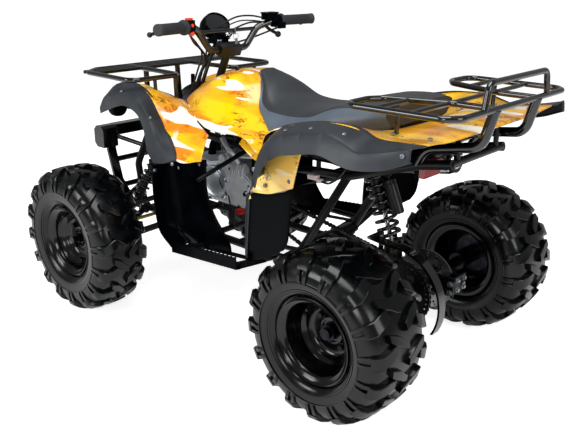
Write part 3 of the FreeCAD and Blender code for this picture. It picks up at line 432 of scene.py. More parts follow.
blackZinc = bareMetal("black zinc plate", "#2A2C30", "#1A1B1E", 0.28, 0.8)
chainSteel = bareMetal("oiled chain steel", "#3C3B39", "#232221", 0.32, 0.8)
screwSteel = bareMetal("screw head, zinc plate", "#8E9196", "#6C6F73", 0.35, 0.8)
zinc = bareMetal("yellow zinc plate", "#C9B25A", "#A98F3C", 0.34, 0.8)
chrome = bareMetal("chrome plate", "#E4E6E8", "#CFD2D5", 0.09, 6.0)
gripRubber = mouldedPlastic("moulded grip rubber", "#26292C", "#303438", 0.6, 1.4, 0.15)
rubber = tyreRubber()
redLens = clearPlastic("red acrylic lens", "#A00004", 0.2)
orangeButton = clearPlastic("orange switch cap", "#F0420E", 0.25)
clearLens = clearPlastic("clear lamp lens", "#C9D0D6", 0.06)
screenGlass = clearPlastic("smoked instrument window", "#14181C", 0.08)
sheath = mouldedPlastic("cable sheath", "#060607", "#0B0C0D", 0.34, 1.2, 0.03)
leverBlack = paintedSteel("black painted lever", "#08090A", 0.3, 0.3)
redPlastic = mouldedPlastic("red nylon connector", "#B01010", "#C22018", 0.35, 1.2, 0.03)
whiteNylon = mouldedPlastic("white nylon connector", "#E4DCD8", "#D8B8B4", 0.4, 1.2, 0.03)
print("materials made")


# Each CAD node that stays gets the finish of the real piece

nodeFinish = {
    "frame_lower_rails": frameBlack, "frame_upper_rails": frameBlack, "frame_struts": frameBlack,
    "frame_cross_tubes": frameBlack, "footrest_bars": frameBlack, "panel_stays": frameBlack,
    "suspension_arms": frameBlack, "swing_arm": frameBlack, "steering_stem": frameBlack,
    "knuckle_left": frameBlack, "knuckle_right": frameBlack, "bumper": rackBlack, "rear_rack": rackBlack,
    "front_rack": rackBlack, "handlebar": rackBlack, "sprocket_guard": rackBlack,
    "front_rim_left": rimBlack,
    "front_rim_right": rimBlack, "rear_rim_left": rimBlack, "rear_rim_right": rimBlack,
    "rear_axle": blackZinc,
    "brake_disc": steel, "chain": steel, "rear_sprocket": chainSteel, "brake_caliper": zinc,
    "tie_rod_left": zinc,
    "tie_rod_right": zinc, "engine_crankcase": castAlloy, "engine_cylinder": castAlloy,
    "intake": blackPlastic,
    "exhaust": frameBlack, "front_body": camo, "tank_cover": camo, "rear_body": camo,
    "side_panels": camoPaintedLight,
    "front_flares": greyPlastic, "rear_flares": greyPlastic, "rear_mudguards": blackPlastic,
    "footwells": blackPlastic, "footrests": blackPlastic, "seat": seatTop, "front_shocks": frameBlack,
    "rear_shock": frameBlack, "controls": gripRubber, "instrument_pod": blackPlastic, "lamps": blackPlastic,
    "front_tyre_left": rubber, "front_tyre_right": rubber, "rear_tyre_left": rubber,
    "rear_tyre_right": rubber}

for name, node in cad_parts.items():
    node.data.materials.clear()
    node.data.materials.append(nodeFinish[name])
print("frame painted")


# Wheels

frontTyre = {"radius": 238.5, "half": 89.0, "bead": 62.0, "rim": 114.0, "pitches": 16, "lug": 13.0,
             "lean": 5.0, "x": 418.0, "y": -516.0}
rearTyre = {"radius": 226.0, "half": 112.5, "bead": 85.0, "rim": 114.0, "pitches": 16, "lug": 13.0,
            "lean": 5.0, "x": 352.5, "y": 484.0}


def carcassLine(tyre):
    # from the middle of the tread out over the shoulder and down to the bead, as (across, radius)
    radius = tyre["radius"] - tyre["lug"]
    h = tyre["half"]
    rim = tyre["rim"]
    marks = [(0, radius), (h * 0.3, radius - 0.5), (h * 0.6, radius - 4), (h * 0.8, radius - 13),
             (h * 0.93, radius - 32), (h * 0.985, radius - 56), (h * 0.975, rim + 46), (h * 0.93, rim + 26),
             (tyre["bead"] + (h - tyre["bead"]) * 0.45, rim + 11), (tyre["bead"] + 2, rim + 3)]
    return [Vector((x, r, 0)) * mm for x, r in marks]


def onTyre(line, centre, side, u, angle, height):
    # a point on the carcass, raised by height along its normal
    spot = curveAt(line, u)
    ahead = curveAt(line, min(u + 0.01, 1)) - curveAt(line, max(u - 0.01, 0))
    normal = Vector((-ahead.y, ahead.x, 0)).normalized()
    if normal.y < 0 and u < 0.4:
        normal = -normal
    if normal.x < 0 and u >= 0.4:
        normal = -normal
    spot = spot + normal * height * mm
    return centre + Vector((spot.x * side, spot.y * math.cos(angle), spot.y * math.sin(angle)))


sidewallRings = ((0.575, 1.8), (0.80, 1.6), (0.845, 1.2))  # place on the carcass and height

# across a lug: share of its half width, share of its height, and how far it is sunk in the carcass
lugSection = [(-1.15, 0, 1.5), (-1.0, 0.86, 0), (-0.86, 1, 0), (0.86, 1, 0), (1.0, 0.86, 0), (1.15, 0, 1.5)]


def lugShape(line, centre, side, angle, stations):
    # stations are (u, offset in degrees, half width in degrees, height in mm) along the lug
    rows = []
    for u, offset, half, height in stations:
        middle = angle + math.radians(offset)
        spread = math.radians(half)
        rows.append([onTyre(line, centre, side, u, middle + spread * share, height * level - sunk)
                     for share, level, sunk in lugSection])
    points, faces = net(rows)
    ends = [tuple(range(6)), tuple(reversed(range(len(points) - 6, len(points))))]
    return points, faces + ends


def tyreShape(tyre, centre, outward):
    line = carcassLine(tyre)
    outside = [curveAt(line, i / 40) for i in range(41)]
    profile = [(-p.x, p.y) for p in reversed(outside[1:])] + [(p.x, p.y) for p in outside]
    bead = tyre["bead"] * mm
    foot = (tyre["rim"] - 12) * mm
    inner = [(bead, foot), (bead - 12 * mm, foot), (tyre["half"] * 0.85 * mm, (tyre["rim"] + 40) * mm),
             (tyre["half"] * 0.75 * mm, (tyre["radius"] - 42) * mm), (0, (tyre["radius"] - 28) * mm)]
    inner = inner + [(-x, r) for x, r in reversed(inner[:-1])]
    body = lathe(profile + inner, centre, leftWay, 144, loop=True)
    shapes = [body]
    for side in (1, -1):
        for rib, height in sidewallRings:
            section = ((-0.008, -1), (-0.004, height), (0.004, height), (0.008, -1))
            ring = [onTyre(line, Vector(), 1, rib + d, 0, h) for d, h in section]
            shapes.append(lathe([(p.x * side, p.y) for p in ring], centre, leftWay, 144))
        for k in range(tyre["pitches"]):
            angle = turnFull * (k + (0.25 if side == outward else 0.75)) / tyre["pitches"] - math.pi / 2
            lean = tyre["lean"]
            high = tyre["lug"]
            shapes.append(lugShape(line, centre, side, angle, [
                (0.15, lean, 3.4, high), (0.18, lean * 0.8, 3.9, high), (0.23, lean * 0.4, 4.3, high),
                (0.30, 0, 4.6, high * 0.96), (0.365, 0, 4.8, high * 0.95), (0.41, 0, 4.8, high * 0.7)]))
            for rib in (-1, 1):  # the block's two legs down the sidewall, with the slit between them
                shapes.append(lugShape(line, centre, side, angle, [
                    (0.39, rib * 3.3, 1.7, 8.0), (0.45, rib * 3.2, 1.6, 6.0), (0.52, rib * 3.0, 1.5, 4.4),
                    (0.60, rib * 2.7, 1.3, 1.4)]))
            shapes.append(lugShape(line, centre, side, angle + math.pi / tyre["pitches"], [
                (0.0, -lean * 1.4, 2.4, high), (0.05, -lean, 3.3, high), (0.10, -lean * 0.4, 3.5, high),
                (0.155, 0, 3.3, high), (0.20, lean * 0.4, 2.5, high)]))
    return joined(shapes)


rimSizes = {"front": {"half": 71.0, "face": 12.0}, "rear": {"half": 94.0, "face": 8.0}}


def rimShape(size, centre, side):
    # pressed rim: rolled flange, bead seat, drop centre and the dished disc
    # the brake drum and the hub of the front solid are missing here
    h = size["half"]
    f = size["face"]
    marks = [(h - 1, 114), (h, 111.5), (h - 2, 109.5), (h - 5, 107), (h - 8, 101), (h - 10, 97),
             (h - 26, 93),
             (h - 34, 88), (f + 27, 86), (f + 22, 83), (f + 17, 76), (f + 12, 73), (f + 5, 69),
             (f + 1.5, 64), (f, 60), (f, 40), (f + 1.5, 37), (f + 5, 35), (f + 5, 30), (f, 29), (f, 24)]
    back = [(f - 3.5, 24), (f - 3.5, 60), (f + 8, 78), (f - 2, 89), (-h + 20, 89), (-h + 6, 96), (-h, 110),
            (-h, 114), (-h + 4, 114), (-h + 9, 100), (-h + 20, 93), (h - 20, 93), (h - 9, 100),
            (h - 4, 114)]
    profile = [(x * side * mm, r * mm) for x, r in marks + back]
    return lathe(profile, centre, leftWay, 96, loop=True)


def wheelTrim(size, centre, side):
    # four plated nuts, the axle nut and the tyre valve
    way = Vector((side, 0, 0))
    face = centre + way * size["face"] * mm
    nuts = []
    for k in range(4):
        a = math.pi / 4 + k * math.pi / 2
        nuts.append(hexHead(face + Vector((0, math.cos(a), math.sin(a))) * 48 * mm, way, 0.016, 0.013))
    nuts.append(hexHead(face + way * 0.004, way, 0.03, 0.016))
    nuts.append(rod(face + way * 0.018, face + way * 0.03, 0.0075, 20))
    valveFoot = centre + way * (size["half"] - 30) * mm + Vector((0, -0.2, 0.98)).normalized() * 0.088
    valve = rod(valveFoot, valveFoot + way * 0.026 + Vector((0, 0, -0.008)), 0.0035, 14)
    return joined(nuts), valve


def addWheel(key, tyre, side):
    centre = point(tyre["x"] * side, tyre["y"], tyre["radius"])
    size = rimSizes[key]
    label = "left" if side > 0 else "right"
    body = "wheel_front_" + label if key == "front" else "rear_axle"
    addPiece(f"{key}_tyre_tread_{label}", tyreShape(tyre, centre, side), rubber, body,
             (f"{key}_tyre_{label}",), smooth=32)
    addPiece(f"{key}_rim_disc_{label}", rimShape(size, centre, side), rimBlack, body,
             (f"{key}_rim_{label}",), smooth=50)
    nuts, valve = wheelTrim(size, centre, side)
    addPiece(f"{key}_wheel_nuts_{label}", nuts, blackZinc, body, bevel=0.0004)
    addPiece(f"{key}_valve_{label}", valve, sheath, body)


for side in (1, -1):
    addWheel("front", frontTyre, side)
    addWheel("rear", rearTyre, side)
print("wheels made")


# Body panels, smoothed both ways through section points; the rear body has no well over the rear shock

panelRows = {
    "wing": [
        [(130, -640, 650), (170, -626, 662), (215, -608, 663), (260, -582, 660)],
        [(130, -566, 680), (170, -560, 694), (215, -550, 702), (266, -538, 700)],
        [(130, -485, 690), (172, -482, 704), (220, -478, 722), (268, -472, 727)],
        [(130, -410, 688), (172, -410, 704), (220, -411, 726), (268, -411, 735)],
        [(128, -355, 676), (172, -358, 694), (222, -363, 718), (269, -366, 727)],
        [(132, -318, 674), (178, -316, 688), (225, -320, 704), (271, -323, 707)],
        [(160, -272, 668), (200, -272, 682), (240, -276, 682), (279, -280, 668)],
        [(196, -215, 664), (226, -220, 664), (258, -226, 650), (289, -233, 621)],
        [(232, -150, 644), (254, -155, 634), (276, -165, 600), (298, -178, 532)],
        [(262, -70, 622), (278, -66, 606), (292, -62, 580), (304, -60, 552)]],
    "side panel": [
        [(296, 126, 477), (305, 215, 512), (314, 304, 548)],
        [(295, 150, 530), (305, 232, 568), (316, 318, 598)],
        [(294, 176, 588), (304, 248, 628), (316, 332, 645)]],
    "mudguard": [
        [(280, 100, 300), (294, 120, 297), (302, 195, 321), (308, 268, 366)],
        [(280, 101, 350), (295, 124, 350), (303, 205, 365), (312, 286, 400)],
        [(281, 104, 420), (296, 130, 420), (305, 212, 432), (315, 296, 470)],
        [(282, 108, 488), (297, 138, 500), (306, 214, 513), (316, 304, 543)]],
    "footwell": [
        [(324, -262, 506), (284, -270, 506), (250, -256, 508), (238, -180, 522), (240, -105, 538)],
        [(326, -264, 430), (284, -266, 425), (248, -246, 422), (237, -175, 428), (238, -108, 438)],
        [(326, -256, 350), (284, -256, 345), (248, -232, 340), (237, -150, 345), (236, -76, 365)],
        [(325, -240, 296), (284, -238, 290), (250, -214, 284), (238, -120, 284), (234, -20, 296)],
        [(322, -192, 256), (290, -190, 254), (258, -180, 254), (240, -110, 256), (234, -10, 262)]]}

fullRows = {  # half sections (across, along, height), each mirrored to a full-width row
    "cowl": [[(x, y, z) for x, z in half] for y, half in (
        (-668, [(0, 590), (60, 592), (105, 600), (129, 612)]),
        (-640, [(0, 618), (60, 620), (105, 632), (129, 649)]),
        (-566, [(0, 634), (60, 638), (105, 655), (129, 679)]),
        (-485, [(0, 644), (60, 648), (105, 664), (129, 689)]),
        (-410, [(0, 650), (60, 654), (105, 668), (129, 687)]),
        (-356, [(0, 652), (60, 655), (105, 664), (127, 675)]))],
    "tank": [
        [(0, -262, 738), (60, -284, 736), (96, -306, 708), (118, -324, 682), (136, -308, 675),
         (158, -272, 669)],
        [(0, -205, 768), (60, -205, 765), (105, -205, 750), (140, -205, 718), (172, -205, 688),
         (204, -205, 662)],
        [(0, -130, 781), (60, -130, 778), (110, -130, 757), (150, -130, 712), (188, -130, 674),
         (228, -130, 634)],
        [(0, -55, 766), (60, -55, 762), (112, -55, 728), (152, -55, 692), (196, -55, 660), (240, -55, 630)],
        [(0, 5, 715), (60, 5, 714), (118, 0, 692), (160, 28, 670), (200, 45, 648), (246, 48, 634)],
        [(0, 30, 690), (60, 32, 690), (122, 42, 676), (172, 98, 655), (214, 142, 634), (247, 112, 594)]],
    "rear body": [[(x, y, z) for x, z in half] for y, half in (
        (30, [(0, 585), (80, 585), (140, 606), (185, 632), (215, 628), (236, 608)]),
        (110, [(0, 570), (90, 570), (150, 586), (200, 612), (228, 600), (244, 574)]),
        (190, [(0, 570), (95, 570), (160, 590), (215, 636), (262, 655), (296, 668)]),
        (275, [(0, 570), (100, 570), (165, 600), (220, 660), (268, 690), (306, 706)]),
        (335, [(0, 574), (110, 574), (170, 610), (225, 672), (272, 704), (311, 722)]),
        (420, [(0, 636), (110, 640), (170, 664), (230, 700), (278, 724), (315, 737)]),
        (500, [(0, 702), (110, 704), (170, 708), (230, 716), (278, 729), (321, 738)]),
        (580, [(0, 718), (110, 718), (170, 718), (230, 718), (280, 718), (329, 719)]),
        (692, [(0, 718), (110, 718), (170, 718), (230, 720), (280, 725), (337, 729)]))]}


def widthRows(name):
    return [[point(-x, y, z) for x, y, z in reversed(half[1:])] + pointsOf(half) for half in fullRows[name]]


def panelShape(rows, down, along):
    return net(refine(rows, down * (len(rows) - 1), along * (len(rows[0]) - 1)))


def sidePanelShape(name, down=6, along=6):
    rows = [pointsOf(row) for row in panelRows[name]]
    shape = panelShape(rows, down, along)
    return joined([shape, mirroredShape(shape)])


skin = 4 * mm
addPiece("front_fenders", sidePanelShape("wing"), camo, "chassis", ("front_body",),
         thick=skin, bevel=0.001, inside=blackPlastic)
addPiece("nose_trough", panelShape(widthRows("cowl"), 6, 6), blackPlastic, "chassis",
         thick=skin, bevel=0.001)
addPiece("foot_shields", sidePanelShape("footwell", 8, 8), blackPlastic, "chassis",
         ("footwells",), thick=skin, bevel=0.001)
addPiece("tank_shroud", panelShape(widthRows("tank"), 8, 6), camo, "chassis",
         ("tank_cover",), thick=skin, bevel=0.001, inside=blackPlastic)
addPiece("rear_fender", panelShape(widthRows("rear body"), 6, 5), camo, "chassis",
         ("rear_body",), thick=skin, bevel=0.001, inside=blackPlastic)
# the side panels take the lighter copy of the printed ABS: painted light against their shade
addPiece("lower_side_panels", sidePanelShape("side panel"), camoPaintedLight, "chassis",
         ("side_panels",), thick=skin, bevel=0.001)
addPiece("black_mudguards", sidePanelShape("mudguard"), blackPlastic, "chassis",
         ("rear_mudguards",), thick=skin, bevel=0.001)
print("panels made")


# Wheel arch flares: inner edge, crease and lower edge at each station

flareLines = {
    "front": [
        ((262, -575, 662), (280, -585, 640), (275, -590, 616)),
        ((268, -535, 700), (288, -545, 675), (285, -531, 636)),
        ((270, -470, 726), (300, -467, 700), (300, -464, 658)),
        ((270, -411, 734), (310, -400, 715), (310, -409, 670)),
        ((271, -366, 726), (316, -355, 708), (315, -367, 667)),
        ((273, -323, 706), (321, -318, 692), (320, -323, 650)),
        ((281, -280, 667), (328, -270, 665), (325, -293, 614)),
        ((291, -233, 620), (330, -240, 625), (330, -280, 578)),
        ((298, -200, 575), (330, -221, 573), (330, -272, 545)),
        ((300, -178, 531), (330, -216, 521), (330, -244, 516))],
    "rear": [
        ((298, 186, 562), (380, 221, 562), (388, 241, 552)),
        ((296, 188, 612), (380, 236, 617), (394, 260, 592)),
        ((297, 200, 655), (382, 258, 655), (398, 284, 620)),
        ((300, 245, 694), (384, 286, 685), (400, 304, 640)),
        ((306, 290, 711), (384, 318, 699), (400, 334, 655)),
        ((312, 350, 726), (382, 360, 711), (400, 367, 663)),
        ((315, 405, 735), (380, 412, 720), (400, 412, 673)),
        ((318, 460, 738), (380, 462, 727), (400, 463, 679)),
        ((322, 520, 734), (386, 522, 712), (400, 528, 664)),
        ((328, 570, 720), (392, 570, 702), (400, 577, 664)),
        ((333, 640, 724), (396, 640, 717), (400, 640, 677)),
        ((338, 700, 730), (392, 700, 733), (396, 702, 702))]}
flareForm = {"step": 5.0, "lip": 9.0, "round": 5.0, "samples": 90, "front plates": (0.18, 0.36, 0.55, 0.72),
             "rear plates": (0.16, 0.28, 0.4, 0.5, 0.62)}


def flareShape(which):
    # each plate of the flare stands proud of the next one by a step that fades along its length
    lines = [[point(*station[k]) for station in flareLines[which]] for k in range(3)]
    plates = (0,) + flareForm[which + " plates"] + (1,)
    marks = sorted(set([i / flareForm["samples"] for i in range(flareForm["samples"] + 1)]
                       + [p + d for p in plates[1:-1] for d in (-0.0015, 0.0015)]))
    rows = []
    for t in marks:
        inner, crease, edge = [curveAt(line, t) for line in lines]
        start = max(p for p in plates if p <= t + 1e-9)
        end = min([p for p in plates if p > t + 1e-9] or [1])
        phase = (t - start) / max(end - start, 0.01)
        step = flareForm["step"] * mm * (1 - phase)
        over = (crease - inner).normalized()
        down = (edge - crease).normalized()
        top = crease - down * step * 0.6 - over * step
        side = crease + down * (flareForm["round"] * mm)
        rows.append([inner - over * 0.01, inner, inner.lerp(top, 0.5), top - over * flareForm["round"] * mm,
                     top.lerp(side, 0.35), side, side.lerp(edge, 0.5), edge,
                     edge - over * flareForm["lip"] * mm])
    shape = net(rows)
    return joined([shape, mirroredShape(shape)])


for which in ("front", "rear"):
    addPiece(which + "_arch_flares", flareShape(which), greyPlastic, "chassis",
             (which + "_flares",), thick=0.0035, smooth=30)
print("flares made")


# Seat: sections along the quad as (y, half width at the piping, its height, flank, low edge, base, top)

seatSections = [(-80, 32, 783, 40, 774, 760, 789), (-30, 72, 750, 84, 738, 720, 768),
                (0, 106, 710, 122, 698, 690, 752),
                (38, 124, 692, 149, 681, 655, 723), (75, 132, 689, 173, 668, 625, 711),
                (125, 140, 689, 202, 651, 600, 707),
                (190, 152, 695, 214, 650, 600, 712), (240, 160, 706, 214, 664, 604, 722),
                (290, 163, 728, 207, 680, 612, 739),
                (340, 162, 742, 194, 702, 625, 750), (410, 156, 749, 178, 718, 660, 757),
                (476, 146, 748, 160, 736, 705, 755)]
seatForm = {"down": 8, "around": 40, "seam": 8}


def seatRows():
    rows = []
    for y, half, edge, flank, low, base, top in seatSections:
        right = [(flank * 0.84, base), (flank, low), (half, edge),
                 (half * 0.82, edge + (top - edge) * 0.62), (half * 0.45, top - 1), (0, top)]
        ring = right + [(-x, z) for x, z in reversed(right[:-1])]
        rows.append([point(x, y, z) for x, z in ring])
    return refine(rows, seatForm["down"] * (len(rows) - 1), seatForm["around"])


def addSeat():
    rows = seatRows()
    points, faces = net(rows)
    count = len(rows[0])
    faces += [tuple(range(count)), tuple(reversed(range(len(points) - count, len(points))))]
    for i in range(len(rows) - 1):
        faces.append((i * count + count - 1, i * count, (i + 1) * count, (i + 1) * count + count - 1))
    faces = [tuple(reversed(face)) for face in faces]
    seamAt = seatForm["seam"]
    cushion = addPiece("seat_cushion", (points, faces), [seatTop, seatSide], "chassis",
                       ("seat",), smooth=60)
    for face in cushion.data.polygons:
        along = [v % count for v in face.vertices]
        if len(face.vertices) == 4 and (max(along) <= seamAt or min(along) >= count - 1 - seamAt):
            face.material_index = 1
    welts = []
    for k in (seamAt, count - 1 - seamAt):
        welts.append(sweep([row[k] + Vector((0, 0, 0.0006)) for row in rows[2:-2]], 0.0022, 8))
    addPiece("seat_piping", joined(welts), seatTop, "chassis")


addSeat()
print("seat made")


# Springs and dampers

frontShock = {"top": (120, -514, 430), "foot": (268, -514, 232), "coil": 20.0, "wire": 4.2, "turns": 9.5,
              "eyeWay": (0, 1, 0), "body": 13.0, "rod": 6.0}
rearShock = {"top": (0, 328, 562), "foot": (0, 412, 330), "coil": 29.0, "wire": 5.6, "turns": 8.5,
             "eyeWay": (1, 0, 0), "body": 17.0, "rod": 7.0}
bottle = {"top": (0, 385, 525), "foot": (0, 425, 430), "neck": ((0, 350, 528), (0, 391, 511)),
          "radius": 18.5, "waist": 17.2, "neckRadius": 9.0}


def shockShapes(size):
    # the coil, the black damper with its eyes and spring seats, and the plated rod
    top = point(*size["top"])
    foot = point(*size["foot"])
    way = (foot - top).normalized()
    wire = size["wire"] * mm
    outer = size["coil"] * mm + wire
    seatAt = 18 * mm
    coil = sweep(helix(top + way * (seatAt + wire), foot - way * (seatAt + wire), size["coil"] * mm,
                       size["turns"]),
                 wire, 10)
    half = (foot - top).length * 0.56
    parts = [rod(top + way * 0.009, top + way * half, size["body"] * mm, 28)]
    dish = [(0.009, 0.008), (0.009, outer * 0.55), (0.0135, outer * 0.8), (0.0155, outer), (seatAt, outer),
            (seatAt + 0.001, outer * 0.7), (seatAt + 0.001, 0.008)]
    eyeWay = Vector(size["eyeWay"])
    ring = [(-0.0125, 0.0064), (-0.0125, 0.0118), (-0.0115, 0.0128), (0.0115, 0.0128), (0.0125, 0.0118),
            (0.0125, 0.0064)]
    for end, turn in ((top, 1), (foot, -1)):
        parts.append(lathe(dish, end, way * turn, 36))
        parts.append(lathe(ring, end, eyeWay, 28, loop=True))
    collar = [(0, size["body"] * mm), (0, outer - wire * 1.6), (0.006, outer - wire * 1.6),
              (0.006, size["body"] * mm)]
    parts.append(lathe(collar, top + way * (seatAt + 0.001), way, 24))
    plated = rod(top + way * (half - 0.002), foot - way * 0.009, size["rod"] * mm, 20)
    return coil, joined(parts), plated


def addShocks():
    coil, damper, plated = shockShapes(frontShock)
    addPiece("front_springs", joined([coil, mirroredShape(coil)]), rackBlack, "chassis",
             ("front_shocks",))
    addPiece("front_dampers", joined([damper, mirroredShape(damper)]), frameBlack, "chassis")
    addPiece("front_damper_rods", joined([plated, mirroredShape(plated)]), chrome, "chassis")
    coil, damper, plated = shockShapes(rearShock)
    top = point(*bottle["top"])
    foot = point(*bottle["foot"])
    long = (foot - top).length
    wide = bottle["radius"] * mm
    waist = bottle["waist"] * mm
    flask = lathe([(0, 0), (0, 0.014), (0.004, wide), (0.012, wide), (0.013, waist), (0.016, waist),
                   (0.017, wide),
                   (long - 0.004, wide), (long, 0.015), (long, 0)], top, (foot - top).normalized(), 36)
    neck = rod(*pointsOf(bottle["neck"]), bottle["neckRadius"] * mm, 20)
    addPiece("rear_spring", coil, rackBlack, "chassis", ("rear_shock",))
    addPiece("rear_damper", joined([damper, flask, neck]), frameBlack, "chassis")
    addPiece("rear_damper_rod", plated, chrome, "chassis")


addShocks()
print("springs made")


# Chain: side plates in pairs, inner and outer in turn, on rollers along the loop round both sprockets

chainSize = {"x": 52.0, "pitch": 12.7, "drive": (-135, 392), "driveRadius": 30.5,
             "axle": (rearTyre["y"], rearTyre["radius"]), "axleRadius": 88.5, "plate": 5.2, "roller": 4.2}


def chainLoop():
    # points one pitch apart, as (along the quad, height)
    a = Vector((*chainSize["drive"], 0))
    b = Vector((*chainSize["axle"], 0))
    way = (b - a).normalized()
    gap = (b - a).length
    lean = math.asin((chainSize["axleRadius"] - chainSize["driveRadius"]) / gap)
    base = math.atan2(way.y, way.x)
    path = []

    def spot(centre, radius, angle):
        return centre + Vector((math.cos(angle), math.sin(angle), 0)) * radius

    steps = 48
    for i in range(steps + 1):  # round the rear sprocket, from its top to its foot
        angle = base + (math.pi / 2 + lean) - (math.pi + 2 * lean) * i / steps
        path.append(spot(b, chainSize["axleRadius"], angle))
    for i in range(steps + 1):  # and round the drive sprocket
        angle = base - (math.pi / 2 + lean) - (math.pi - 2 * lean) * i / steps
        path.append(spot(a, chainSize["driveRadius"], angle))
    path.append(path[0])
    lengths = [(q - p).length for p, q in zip(path, path[1:])]
    count = 2 * round(sum(lengths) / chainSize["pitch"] / 2)
    pitch = sum(lengths) / count
    places = []
    walked = 0.0
    for p, q, length in zip(path, path[1:], lengths):
        while len(places) < count and len(places) * pitch <= walked + length:
            places.append(p.lerp(q, (len(places) * pitch - walked) / length))
        walked += length
    return places


def linkPlate(p, q, x, thick):
    # a waisted side plate from pin to pin
    way = (q - p).normalized()
    up = Vector((-way.y, way.x, 0))
    r = chainSize["plate"]
    outline = []
    for centre, start in ((p, 90), (q, -90)):
        for k in range(5):
            angle = math.radians(start + k * 45)
            outline.append(centre + (way * math.cos(angle) + up * math.sin(angle)) * r)
        outline.append((p + q) / 2 + up * r * 0.66 * (-1 if centre is p else 1))
    return slab([point(x, o.x, o.y) for o in outline], Vector((thick * mm, 0, 0)))


def chainShape():
    places = chainLoop()
    shapes = []
    for i, p in enumerate(places):
        q = places[(i + 1) % len(places)]
        reach = 3.4 if i % 2 else 5.2
        for x in (-reach, reach - 1.5):
            shapes.append(linkPlate(p, q, chainSize["x"] + x, 1.5))
        shapes.append(rod(point(chainSize["x"] - 6.4, p.x, p.y), point(chainSize["x"] + 6.4, p.x, p.y),
                          0.0019, 8))
        shapes.append(rod(point(chainSize["x"] - 3.2, p.x, p.y), point(chainSize["x"] + 3.2, p.x, p.y),
                          chainSize["roller"] * mm, 10))
    return joined(shapes)


addPiece("roller_chain", chainShape(), chainSteel, "chassis", ("chain",), smooth=30)


caliper = {
    "halves": ((-112, 25), (-77, 29)), "y": 557, "z": 240, "deep": 56, "high": 50,
    "bridge": ((-81, 579, 240), (62, 24, 50)),
    "pistons": (228, 252), "bracket": ((504, 210), (592, 210), (592, 256), (560, 262), (530, 250),
                                       (504, 246)),
    "bracket bolts": ((516, 222), (582, 222), (582, 248))}


def addFinalDrive():
    axle = point(0, rearTyre["y"], rearTyre["radius"])
    nuts = []
    for k in range(6):
        a = k * math.pi / 3 + 0.3
        out = Vector((0, math.cos(a), math.sin(a)))
        nuts.append(hexHead(axle + point(55, 0, 0) + out * 0.036, leftWay, 0.011, 0.007))
        nuts.append(hexHead(axle + point(-82, 0, 0) + out * 0.036, Vector((-1, 0, 0)), 0.010, 0.006))
    addPiece("sprocket_and_disc_bolts", joined(nuts), steel, "rear_axle")
    body = []  # two halves either side of the disc, each with a piston boss, and the bridge between them
    for x, wide in caliper["halves"]:
        size = point(wide, caliper["deep"], caliper["high"])
        body.append(brick(point(x + wide / 2, caliper["y"], caliper["z"]), size))
    body.append(brick(*pointsOf(caliper["bridge"])))
    for z in caliper["pistons"]:
        body.append(rod(point(-112, 552, z), point(-117, 552, z), 0.013, 24))
        body.append(rod(point(-48, 552, z), point(-44, 552, z), 0.011, 24))
    addPiece("caliper_body", joined(body), darkAlloy, "chassis", ("brake_caliper",),
             bevel=0.003)
    bracket = [point(-47, y, z) for y, z in caliper["bracket"]]
    plates = [slab(bracket, Vector((0.006, 0, 0))), brick(point(-62, 582, 240), (0.034, 0.012, 0.02))]
    addPiece("caliper_bracket", joined(plates), blackZinc, "chassis", bevel=0.001)
    bolts = [hexHead(point(-41, y, z), leftWay, 0.013, 0.008) for y, z in caliper["bracket bolts"]]
    bolts += [hexHead(point(x, 591, z), rearWay, 0.011, 0.007) for x in (-98, -64) for z in (226, 254)]
    bolts.append(rod(point(-90, 591, 240), point(-90, 600, 243), 0.004, 14))
    addPiece("caliper_bolts", joined(bolts), steel, "chassis")


addFinalDrive()
print("chain and brake made")


# Engine: what is bolted on the left side of the crankcase

engine = {
    "face": 82.0, "cover": (104, -222, 418), "coverRadius": 52.0, "bolts": 6,
    "flange": [(-304, 374), (-288, 464), (-214, 481), (-118, 466), (-66, 432), (-62, 380), (-108, 348),
               (-264, 348)],
    "flange bolts": [(-296, 384), (-281, 458), (-160, 470), (-76, 428), (-72, 384), (-120, 354),
                     (-258, 354)],
    "bosses": [((70, -176, 496), (116, -176, 504), 14, 32), ((84, -176, 498), (100, -176, 501), 18, 32),
               ((76, -150, 468), (76, -104, 468), 16, 24), ((70, -84, 402), (98, -84, 402), 17, 28),
               ((70, -282, 440), (96, -282, 440), 12, 24), ((104, -116, 519), (104, -30, 531), 4.2, 14)],
    "vent": {"fins": 5, "first": -146, "apart": 9, "outline": [(70, 448), (104, 452), (108, 476), (98, 490),
                                                               (70, 492)]},
    "pipe": [(96, -190, 566), (100, -176, 556), (103, -158, 540), (102, -140, 528), (96, -128, 512),
             (90, -124, 494)],
    "wires": [((96, -168, 379), (112, -140, 352), (112, -110, 326), (100, -92, 311)),
              ((60, -220, 505), (96, -205, 470), (110, -190, 420), (100, -170, 380)),
              ((10, -96, 520), (60, -60, 500), (96, -40, 470), (104, -60, 420), (96, -90, 350))],
    "lamp wire": [(240, 340, 558), (244, 372, 562), (230, 400, 590), (196, 410, 640)]}


